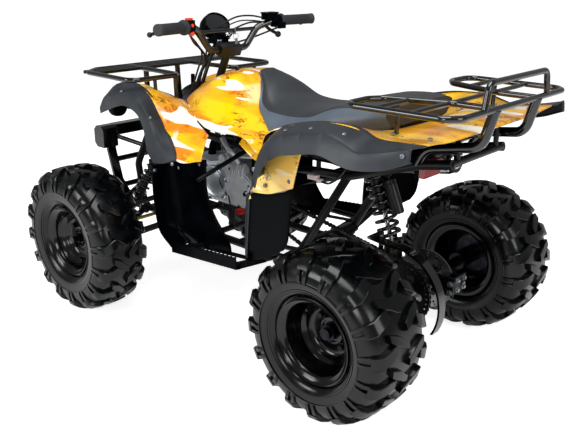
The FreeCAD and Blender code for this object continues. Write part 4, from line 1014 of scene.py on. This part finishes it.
def engineShapes():
    cover = point(*engine["cover"])
    r = engine["coverRadius"] * mm
    disc = lathe([(-0.02, 0), (-0.02, r + 0.002), (0.001, r + 0.002), (0.005, r), (0.0065, r - 0.004),
                  (0.0045, r - 0.009), (0.0035, r - 0.012), (0.006, r - 0.02), (0.0085, r * 0.35),
                  (0.009, 0)],
                 cover, leftWay, 96)
    flange = engine["flange"]
    plate = slab([point(engine["face"], y, z) for y, z in flange], leftWay * 0.009)
    inner = slab([point(engine["face"] + 9, y * 0.93 - 13, (z - 415) * 0.86 + 415) for y, z in flange],
                 leftWay * 0.006)
    seam = slab([point(engine["face"] - 3, y * 1.02 + 4, (z - 415) * 1.06 + 415) for y, z in flange],
                leftWay * 0.004)
    shapes = [plate, inner, seam]
    for start, end, radius, segments in engine["bosses"]:
        shapes.append(rod(point(*start), point(*end), radius * mm, segments))
    vent = engine["vent"]
    for k in range(vent["fins"]):
        y = vent["first"] + k * vent["apart"]
        shapes.append(slab([point(x, y, z) for x, z in vent["outline"]], Vector((0, 0.003, 0))))
    shapes.append(sweep(smoothPath(pointsOf(engine["pipe"]), 24), 0.0085, 14))
    bolts = []
    for k in range(engine["bolts"]):
        a = k * turnFull / engine["bolts"] + 0.2
        bolts.append(hexHead(cover + Vector((-0.002, math.cos(a) * (r + 0.009), math.sin(a) * (r + 0.009))),
                             leftWay, 0.009, 0.007))
    for y, z in engine["flange bolts"]:
        bolts.append(hexHead(point(engine["face"] + 8, y, z), leftWay, 0.009, 0.007))
    bolts.append(hexHead(point(98, -84, 402), leftWay, 0.016, 0.008))
    bolts.append(hexHead(point(104, -30, 531), Vector((0, 1, 0.1)), 0.012, 0.01))
    return disc, joined(shapes), joined(bolts)


def addEngine():
    disc, castings, bolts = engineShapes()
    addPiece("engine_round_cover", disc, polishedAlloy, "chassis", smooth=30)
    addPiece("engine_side_castings", castings, castAlloy, "chassis", bevel=0.0015)
    addPiece("engine_bolts", bolts, chrome, "chassis")
    plug = brick(point(98, -112, 338), (0.02, 0.026, 0.014))
    addPiece("wiring_connector", plug, redPlastic, "chassis", bevel=0.002)
    for k, path in enumerate(engine["wires"]):
        shape = sweep(smoothPath(pointsOf(path), 24), 0.0022, 8)
        addPiece(f"engine_wire_{k + 1}", shape, sheath, "chassis")
    connector = [brick(point(240, 312, 566), (0.016, 0.03, 0.013)),
                 brick(point(240, 334, 560), (0.013, 0.014, 0.01))]
    addPiece("lamp_wire_connector", joined(connector), whiteNylon, "chassis", bevel=0.0015)
    lead = sweep(smoothPath(pointsOf(engine["lamp wire"]), 20), 0.003, 10)
    addPiece("lamp_wire", lead, sheath, "chassis")


addEngine()
print("engine dressed")


# Silencer end, lamps

silencer = {"front": (-170, 236, 522), "way": (0, 0.985, 0.1725), "long": 248.0, "radius": 41.0}


def addSilencerEnd():
    way = Vector(silencer["way"]).normalized()
    back = point(*silencer["front"]) + way * silencer["long"] * mm
    r = silencer["radius"] * mm
    cap = lathe([(-0.03, r - 0.004), (-0.03, r + 0.0008), (-0.004, r + 0.0008), (0.004, r - 0.001),
                 (0.012, r - 0.006),
                 (0.0185, r - 0.014), (0.019, r - 0.018), (0.017, r - 0.02), (0.019, 0.018), (0.019, 0)],
                 back, way, 72)
    tip = lathe([(0.016, 0.0135), (0.033, 0.0135), (0.035, 0.0125), (0.0345, 0.0105), (0.024, 0.0105),
                 (0.024, 0)],
                back, way, 40)
    screws = []
    side, up = frameOf(way)
    for k in range(6):
        a = k * math.pi / 3
        out = side * math.cos(a) + up * math.sin(a)
        screws.append(hexHead(back + way * 0.0165 + out * (r - 0.013), way, 0.007, 0.004))
    addPiece("silencer_cap", joined([cap, tip]), chrome, "chassis", smooth=30)
    addPiece("silencer_screws", joined(screws), steel, "chassis")
    band = lathe([(-0.12, r), (-0.12, r + 0.002), (-0.105, r + 0.002), (-0.105, r)], back, way, 60)
    addPiece("silencer_band", band, frameBlack, "chassis")


tailLamp = {"centre": (0, 512, 580), "size": (84, 26, 46), "ribs": 9}
headLamp = {
    "x": 168, "y": -621, "z": 618, "post": ((-632, 648), (-630, 698)), "postRadius": 7.8,
    "shell": [(0, 0), (0, 20), (8, 31), (22, 34), (32, 34), (34, 32.5), (33, 29), (30, 28)],
    "lens": [(28, 28.5), (32.5, 28.5), (34, 20), (34.2, 8), (34.2, 0)]}


def addLamps():
    centre = point(*tailLamp["centre"])
    wide, deep, high = [s * mm for s in tailLamp["size"]]
    housing = [brick(centre - Vector((0, 0.012, 0)), (wide, 0.012, high)),
               brick(centre + point(0, -27, 10), (0.04, 0.02, 0.014))]
    head = []
    lens = []
    for side in (1, -1):
        x = headLamp["x"] * side
        middle = point(x, headLamp["y"], headLamp["z"])
        shell = [(along * mm, r * mm) for along, r in headLamp["shell"]]
        glass = [(along * mm, r * mm) for along, r in headLamp["lens"]]
        head.append(lathe(shell, middle, -rearWay, 48))
        foot, top = [point(x, y, z) for y, z in headLamp["post"]]
        head.append(rod(foot, top, headLamp["postRadius"] * mm, 18))
        lens.append(lathe(glass, middle, -rearWay, 48))
    addPiece("lamp_housings", joined(housing + head), blackPlastic, "chassis", ("lamps",),
             bevel=0.0015)
    addPiece("head_lamp_lenses", joined(lens), clearLens, "chassis")
    glass = [brick(centre + Vector((0, 0.004, 0)), (wide - 0.003, 0.018, high - 0.003))]
    for k in range(tailLamp["ribs"]):
        z = (k / (tailLamp["ribs"] - 1) - 0.5) * (high - 0.01)
        glass.append(brick(centre + Vector((0, 0.0135, z)), (wide - 0.008, 0.0015, 0.0022)))
    addPiece("tail_lamp_lens", joined(glass), redLens, "chassis", bevel=0.0008)


addSilencerEnd()
addLamps()
print("lamps made")


# Bars: what turns with the stem, and the cables that run between the bars and the frame

bars = {"near": (205, -222, 912.2), "far": (327, -189.5, 914), "grip": 16.6, "ribs": 20, "housing": 20.0,
        "lever": 5.0, "ball": 8.0}
blocks = {  # centre from the housing and size; the first is square to the bar
    "switch": ((0, 10, 4), (28, 22, 34)), "buttons": (((-1, 4, 23), (18, 16, 7)),
                                                      ((0, 16, -18), (12, 10, 12))),
    "brake": (((20, -6, 14), (50, 30, 20)), ((20, -6, 26), (54, 34, 5))),
    "throttle": ((-6, 24, -14), (30, 12, 20)), "hinge": ((0, 4, 0), (26, 26, 16))}
throttle = {"lever": [(-150, -238, 900), (-170, -232, 884), (-197, -220, 868)], "radius": 5.5, "ball": 10.4}
gripLine = [(0.0, 5.5, 0), (0.035, 6.2, 0), (0.07, 5.0, 0), (0.08, 0, 0), (0.11, 0, 0), (0.12, 0, 1.3),
            (0.86, 0, 1.3), (0.87, 0, 0), (0.91, 0, 0), (0.93, 0.8, 0), (0.985, 0.8, 0), (1.0, -1.5, 0)]


def gripShape(near, far):
    # a moulded grip with ribs along it, a flange at its inner end and a rolled outer end
    way = (far - near).normalized()
    length = (far - near).length
    side, up = frameOf(way)
    count = bars["ribs"] * 4
    rows = []
    for along, grow, groove in gripLine:
        row = []
        for i in range(count):
            a = turnFull * i / count
            r = (bars["grip"] + grow - (groove if i % 4 < 2 else 0)) * mm
            row.append(near + way * length * along + (side * math.cos(a) + up * math.sin(a)) * r)
        rows.append(row)
    points, faces = net(rows, closed=True)
    last = len(points) - count
    faces.append(tuple(reversed(range(count))))
    faces.append(tuple(range(last, last + count)))
    return points, faces


def ball(centre, radius, steps=10):
    profile = [(-radius * math.cos(math.pi * i / steps),
                radius * math.sin(math.pi * i / steps)) for i in range(steps + 1)]
    return lathe(profile, centre, leftWay, 20)


def addBarEnds():
    grips = []
    black = []
    levers = []
    buttons = []
    screws = []
    for side in (1, -1):
        near = point(bars["near"][0] * side, *bars["near"][1:])
        far = point(bars["far"][0] * side, *bars["far"][1:])
        way = (far - near).normalized()
        grips.append(gripShape(near + way * 0.002, far + way * 0.008))
        r = bars["housing"] * mm
        black.append(lathe([(-0.031, 0.0112), (-0.031, r - 0.003), (-0.029, r), (-0.017, r + 0.001),
                            (-0.0165, r - 0.0012),
                            (-0.0155, r - 0.0012), (-0.015, r + 0.001), (-0.003, r), (-0.001, r - 0.003),
                            (-0.001, 0.0112)],
                           near, way, 40))
        boxAt = near - way * 0.016
        axes = (way, rearWay, upWay)
        if side > 0:  # switch block with its two buttons
            place, size = pointsOf(blocks["switch"])
            black.append(brick(boxAt + place, size, axes))
            for button in blocks["buttons"]:
                place, size = pointsOf(button)
                buttons.append(brick(boxAt + place, size))
            buttons.append(rod(boxAt + point(2, 20, 6), boxAt + point(2, 25, 6), 0.005, 16))
        else:  # brake cylinder with its flat cap, and the throttle's case
            for block in blocks["brake"]:
                place, size = pointsOf(block)
                black.append(brick(boxAt + place, size))
            black.append(rod(boxAt + point(-2, -6, 12), boxAt + point(-24, -10, 12), 0.009, 20))
            place, size = pointsOf(blocks["throttle"])
            black.append(brick(boxAt + place, size))
            for x in (4, 36):
                screws.append(panHead(boxAt + point(x, -6, 28.5), upWay, 0.003))
        hinge = boxAt + point(0, -20, 0)
        place, size = pointsOf(blocks["hinge"])
        black.append(brick(hinge + place, size, axes))
        end = far + point(0, -44, -16)
        line = smoothPath([hinge, near + point(20 * side, -50, -5),
                           near.lerp(far, 0.6) + point(0, -52, -12), end], 24)
        levers.append(sweep(line, lambda t: (bars["lever"] + 1.6 * (1 - t)) * mm, 12))
        levers.append(ball(end, bars["ball"] * mm))
        screws.append(hexHead(hinge + point(0, 0, 8), upWay, 0.01, 0.005))
        if side < 0:  # short throttle lever under the right housing
            thumb = pointsOf(throttle["lever"])
            levers.append(sweep(smoothPath(thumb, 12), throttle["radius"] * mm, 12))
            levers.append(ball(thumb[-1], throttle["ball"] * mm))
        for z in (1, -1):
            screws.append(panHead(boxAt + point(0, 3, 20.5 * z), Vector((0, 0, z)), 0.0028))
    addPiece("bar_grips", joined(grips), gripRubber, "steering", ("controls",), smooth=30)
    addPiece("bar_housings", joined(black), blackPlastic, "steering", bevel=0.002)
    addPiece("bar_levers", joined(levers), leverBlack, "steering")
    addPiece("switch_buttons", joined(buttons), orangeButton, "steering", bevel=0.0015)
    addPiece("bar_screws", joined(screws), steel, "steering")


instrument = {"centre": (0, -330, 893), "way": (0, 0.86, 0.51), "width": 52.0, "height": 39.0}
# outline of the pod from its nose to the rim of its window, as (along, share of full size)
podLine = [(-0.03, 0.0), (-0.029, 0.28), (-0.024, 0.55), (-0.014, 0.8), (0.0, 0.95), (0.014, 1.0),
           (0.03, 1.0), (0.033, 0.98), (0.033, 0.92), (0.028, 0.9)]


def ovalRows(line, centre, way, width, height, count=64):
    up = leftWay.cross(way) * -1
    if up.z < 0:
        up = -up
    rows = []
    for along, share in line:
        row = []
        for i in range(count):
            a = turnFull * i / count
            row.append(centre + way * along + leftWay * math.cos(a) * width * share
                       + up * math.sin(a) * height * share)
        rows.append(row)
    return rows


def addInstrument():
    centre = point(*instrument["centre"])
    way = Vector(instrument["way"]).normalized()
    width = instrument["width"] * mm
    height = instrument["height"] * mm
    shell = net(ovalRows(podLine, centre, way, width, height), closed=True)
    neck = [brick(point(0, -300, 862), (0.056, 0.034, 0.03)),
            brick(point(0, -284, 846), (0.034, 0.05, 0.016)),
            rod(point(-20, -298, 862), point(-20, -280, 872), 0.014, 24)]
    addPiece("instrument_shell", joined([shell] + neck), blackPlastic, "steering",
             ("instrument_pod",), bevel=0.001)
    window = net(ovalRows([(0.0285, 0.9), (0.0305, 0.6), (0.031, 0.0)], centre, way, width, height),
                 closed=True)
    addPiece("instrument_window", window, screenGlass, "steering")
    barrel = lathe([(0, 0), (0, 0.011), (0.014, 0.011), (0.016, 0.0095), (0.016, 0.004), (0.0145, 0.004),
                    (0.0145, 0)],
                   point(-20, -281, 872), Vector((0, 0.87, 0.5)), 32)
    bits = [barrel, brick(point(14, -281, 856), (0.02, 0.006, 0.008))]
    key = [brick(point(-20, -261, 884), (0.0022, 0.022, 0.009)),
           brick(point(-20, -248, 886), (0.0028, 0.014, 0.018))]
    loop = [point(-24, -246, 880) + Vector((math.cos(a) * 0.011, 0.002, math.sin(a) * 0.011 - 0.01))
            for a in [turnFull * i / 20 for i in range(21)]]
    key.append(sweep(loop, 0.0009, 6))
    key.append(brick(point(-28, -246, 850), (0.012, 0.0016, 0.03)))
    addPiece("ignition_barrel", joined(bits), chrome, "steering", bevel=0.0005)
    addPiece("ignition_key", joined(key), steel, "steering", bevel=0.0003)


cables = {  # each from the bars down into the body: (radius, points)
    "clutch": (3.2, ((186, -232, 900), (150, -262, 880), (92, -300, 850), (58, -318, 815), (74, -330, 750),
                     (86, -345, 690), (80, -370, 650))),
    "switch": (3.8, ((186, -222, 890), (150, -246, 862), (88, -290, 836), (48, -312, 800), (66, -326, 745),
                     (74, -344, 690), (64, -372, 650))),
    "brake": (3.0, ((-160, -238, 905), (-120, -285, 905), (-50, -322, 870), (10, -322, 830),
                    (44, -330, 770), (60, -350, 700), (50, -380, 650))),
    "throttle": (3.0, ((-188, -215, 890), (-130, -262, 862), (-50, -302, 836), (16, -316, 806),
                       (50, -334, 750), (58, -352, 690), (40, -384, 650))),
    "instrument": (3.4, ((14, -336, 860), (24, -330, 830), (40, -330, 780), (54, -340, 720),
                         (46, -370, 650))),
    "main loom": (6.5, ((-6, -316, 850), (14, -318, 815), (34, -326, 760), (48, -345, 690),
                        (40, -375, 645)))}
shortCables = {  # loops over the bar, both ends on the steering
    "brake hose": (2.8, ((30, -300, 880), (0, -285, 905), (-50, -268, 928), (-110, -262, 930),
                         (-150, -240, 922))),
    "warning": (2.2, ((20, -306, 874), (-20, -292, 896), (-70, -276, 914), (-120, -262, 914),
                      (-158, -240, 908))),
    "lamp": (2.2, ((46, -312, 884), (90, -296, 902), (140, -262, 916), (176, -230, 918)))}


def addCables():
    for name, (radius, path) in cables.items():
        cable = addPiece(name.replace(" ", "_") + "_cable",
                         sweep(smoothPath(pointsOf(path), 48), radius * mm, 10),
                         sheath, None)
        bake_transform(cable)
    for name, (radius, path) in shortCables.items():
        addPiece(name.replace(" ", "_") + "_lead", sweep(smoothPath(pointsOf(path), 36), radius * mm, 8),
                 sheath, "steering")


addBarEnds()
addInstrument()
addCables()
print("bars dressed")


# Screws on the panels, ribs of the footrests and the pale edges

panelScrews = {  # place and the way that the head faces
    "side panel": [((307, 149, 507), (1, -0.3, 0)), ((307, 200, 534), (1, -0.2, 0)),
                   ((312, 291, 564), (1, -0.1, 0))],
    "footwell": [((318, -256, 492), (0.1, 1, 0.1)), ((244, -229, 490), (0.8, 0.5, 0)),
                 ((241, -138, 517), (1, 0, 0))],
    "front flare": [((322, -262, 655), (0.6, 0.2, 0.7)), ((312, -180, 524), (1, 0.1, 0.1)),
                    ((312, -410, 716), (0.3, 0, 1))],
    "rear flare": [((352, 315, 709), (0.15, -0.2, 1)), ((352, 396, 725), (0.1, 0, 1)),
                   ((354, 497, 728), (0.1, 0.1, 1)),
                   ((397, 684, 716), (1, 0.1, 0.1)), ((382, 232, 600), (1, -0.3, 0))],
    "tail": [((250, 660, 724), (0, 0, 1)), ((250, 560, 721), (0, 0, 1))]}


def addScrews():
    heads = []
    for places in panelScrews.values():
        for place, way in places:
            head = panHead(point(*place), Vector(way).normalized(), 0.0062)
            heads += [head, mirroredShape(head)]
    addPiece("panel_screws", joined(heads), screwSteel, "chassis")


footrest = {"ribs": 17, "front": -176.0, "back": 96.0, "tilt": 4.9, "pivot": (-142, 246)}


def addFootrestRibs():
    tilt = math.tan(math.radians(footrest["tilt"]))
    ribs = []
    for k in range(footrest["ribs"]):
        y = footrest["front"] + (footrest["back"] - footrest["front"]) * k / (footrest["ribs"] - 1)
        z = footrest["pivot"][1] + 5 + (y - footrest["pivot"][0]) * tilt
        edge = 318 + 4 * (y + 188) / 292
        ribs.append(brick(point((edge + 302) / 2, y, z + 2.2), ((edge - 303) * mm, 0.004, 0.0045)))
        ribs.append(brick(point(edge + 0.6, y, z + 31 + 0.8), (0.0075, 0.0045, 0.0022)))
    ribs = joined(ribs)
    addPiece("footrest_ribs", joined([ribs, mirroredShape(ribs)]), blackPlastic, "chassis",
             bevel=0.0008)
    strip = [[point(x, y, z) for x, y, z in row] for row in (
        [(277, 96, 300), (284, 97, 300), (293, 115, 299)],
        [(277, 97, 360), (285, 99, 360), (294, 119, 360)],
        [(278, 100, 420), (286, 103, 422), (295, 125, 424)],
        [(279, 103, 482), (287, 108, 486), (296, 131, 494)])]
    strip = panelShape(strip, 5, 4)
    addPiece("mudguard_edges", joined([strip, mirroredShape(strip)]), greyPlastic, "chassis",
             thick=0.0025)


addScrews()
addFootrestRibs()
print("trim made")


# Floor, light and camera

view = {"place": (1.6583, 1.5019, 1.0972), "yaw": 0.84, "pitch": 0.335, "roll": 0.0059, "focal": 734.3,
        "pictureWidth": 580}
glow = {"floor": 0.8, "floor in gloss": 0.3, "world": 0.25, "world in gloss": 0.03, "floor size": 30}


def addStage():
    floorMesh = bpy.data.meshes.new("floor")
    size = glow["floor size"]
    floorMesh.from_pydata([(-size, -size, 0), (size, -size, 0), (size, size, 0), (-size, size, 0)], [],
                          [(0, 1, 2, 3)])
    floor = bpy.data.objects.new("floor", floorMesh)
    bpy.context.scene.collection.objects.link(floor)
    paper, tree, shader, _ = newMaterial("white studio paper", "#F4F4F4", 0.7)
    floorMesh.materials.append(paper)
    path = addNode(tree, "LightPath")
    glossy = addNode(tree, "Math", {0: path.outputs["Is Glossy Ray"], 1: glow["floor in gloss"]},
                     operation="MULTIPLY")
    seen = addNode(tree, "Math", {0: path.outputs["Is Camera Ray"], 1: glossy.outputs["Value"]},
                   operation="MAXIMUM")
    white = addNode(tree, "Emission", {"Color": (1, 1, 1, 1), "Strength": glow["floor"]})
    both = addNode(tree, "AddShader", {0: shader.outputs["BSDF"], 1: white.outputs["Emission"]})
    mix = addNode(tree, "MixShader", {"Fac": seen.outputs["Value"], 1: shader.outputs["BSDF"],
                                      2: both.outputs["Shader"]})
    tree.links.new(mix.outputs["Shader"], tree.nodes["Material Output"].inputs["Surface"])


def addWorld():
    # glossy rays see a dim studio, so that black stays deep; the camera sees it white
    world = bpy.data.worlds.new("studio")
    world.use_nodes = True
    tree = world.node_tree
    path = addNode(tree, "LightPath")
    glossy = addNode(tree, "Math", {0: path.outputs["Is Glossy Ray"], 1: glow["world in gloss"]},
                     operation="MULTIPLY")
    total = addNode(tree, "Math", {0: glossy.outputs["Value"], 1: glow["world"]}, operation="ADD")
    dim = addNode(tree, "Background", {"Color": (1, 1, 1, 1), "Strength": total.outputs["Value"]})
    full = addNode(tree, "Background", {"Color": (1, 1, 1, 1), "Strength": 1.0})
    seen = addNode(tree, "Math", {0: path.outputs["Is Camera Ray"], 1: path.outputs["Is Transmission Ray"]},
                   operation="MAXIMUM")
    mix = addNode(tree, "MixShader", {"Fac": seen.outputs["Value"], 1: dim.outputs["Background"],
                                      2: full.outputs["Background"]})
    tree.links.new(mix.outputs["Shader"], tree.nodes["World Output"].inputs["Surface"])
    bpy.context.scene.world = world


softLights = {  # place, aim, width and power in watts
    "big overhead": ((0.6, 0.6, 3.2), (0, 0, 0.4), 2.0, 84),
    "left front": ((3.0, -1.2, 1.6), (0, 0, 0.5), 1.2, 46),
    "near side": ((2.7, 1.3, 1.3), (0, -0.1, 0.4), 0.8, 18),
    "rear": ((0.4, 3.4, 1.8), (0, 0, 0.4), 1.4, 32)}


def addLights():
    for name, (place, aim, width, power) in softLights.items():
        lamp = bpy.data.lights.new(name, "AREA")
        lamp.size = width
        lamp.energy = power
        holder = bpy.data.objects.new(name, lamp)
        holder.location = place
        holder.rotation_euler = (Vector(aim) - Vector(place)).to_track_quat("-Z", "Y").to_euler()
        bpy.context.scene.collection.objects.link(holder)


def addCamera():
    yaw = view["yaw"]
    pitch = view["pitch"]
    ahead = Vector((-math.sin(yaw) * math.cos(pitch), -math.cos(yaw) * math.cos(pitch), -math.sin(pitch)))
    right = ahead.cross(upWay).normalized()
    up = right.cross(ahead)
    c = math.cos(view["roll"])
    s = math.sin(view["roll"])
    right, up = right * c + up * s, up * c - right * s
    lens = bpy.data.cameras.new("camera")
    lens.sensor_fit = "HORIZONTAL"
    lens.angle_x = 2 * math.atan(view["pictureWidth"] / 2 / view["focal"])
    camera = bpy.data.objects.new("camera", lens)
    camera.matrix_world = Matrix.Translation(view["place"]) @ Matrix((right, up,
                                                                      -ahead)).transposed().to_4x4()
    bpy.context.scene.collection.objects.link(camera)
    bpy.context.scene.camera = camera


addStage()
addWorld()
addLights()
addCamera()
bpy.context.scene.view_settings.view_transform = "Standard"
print("stage set")
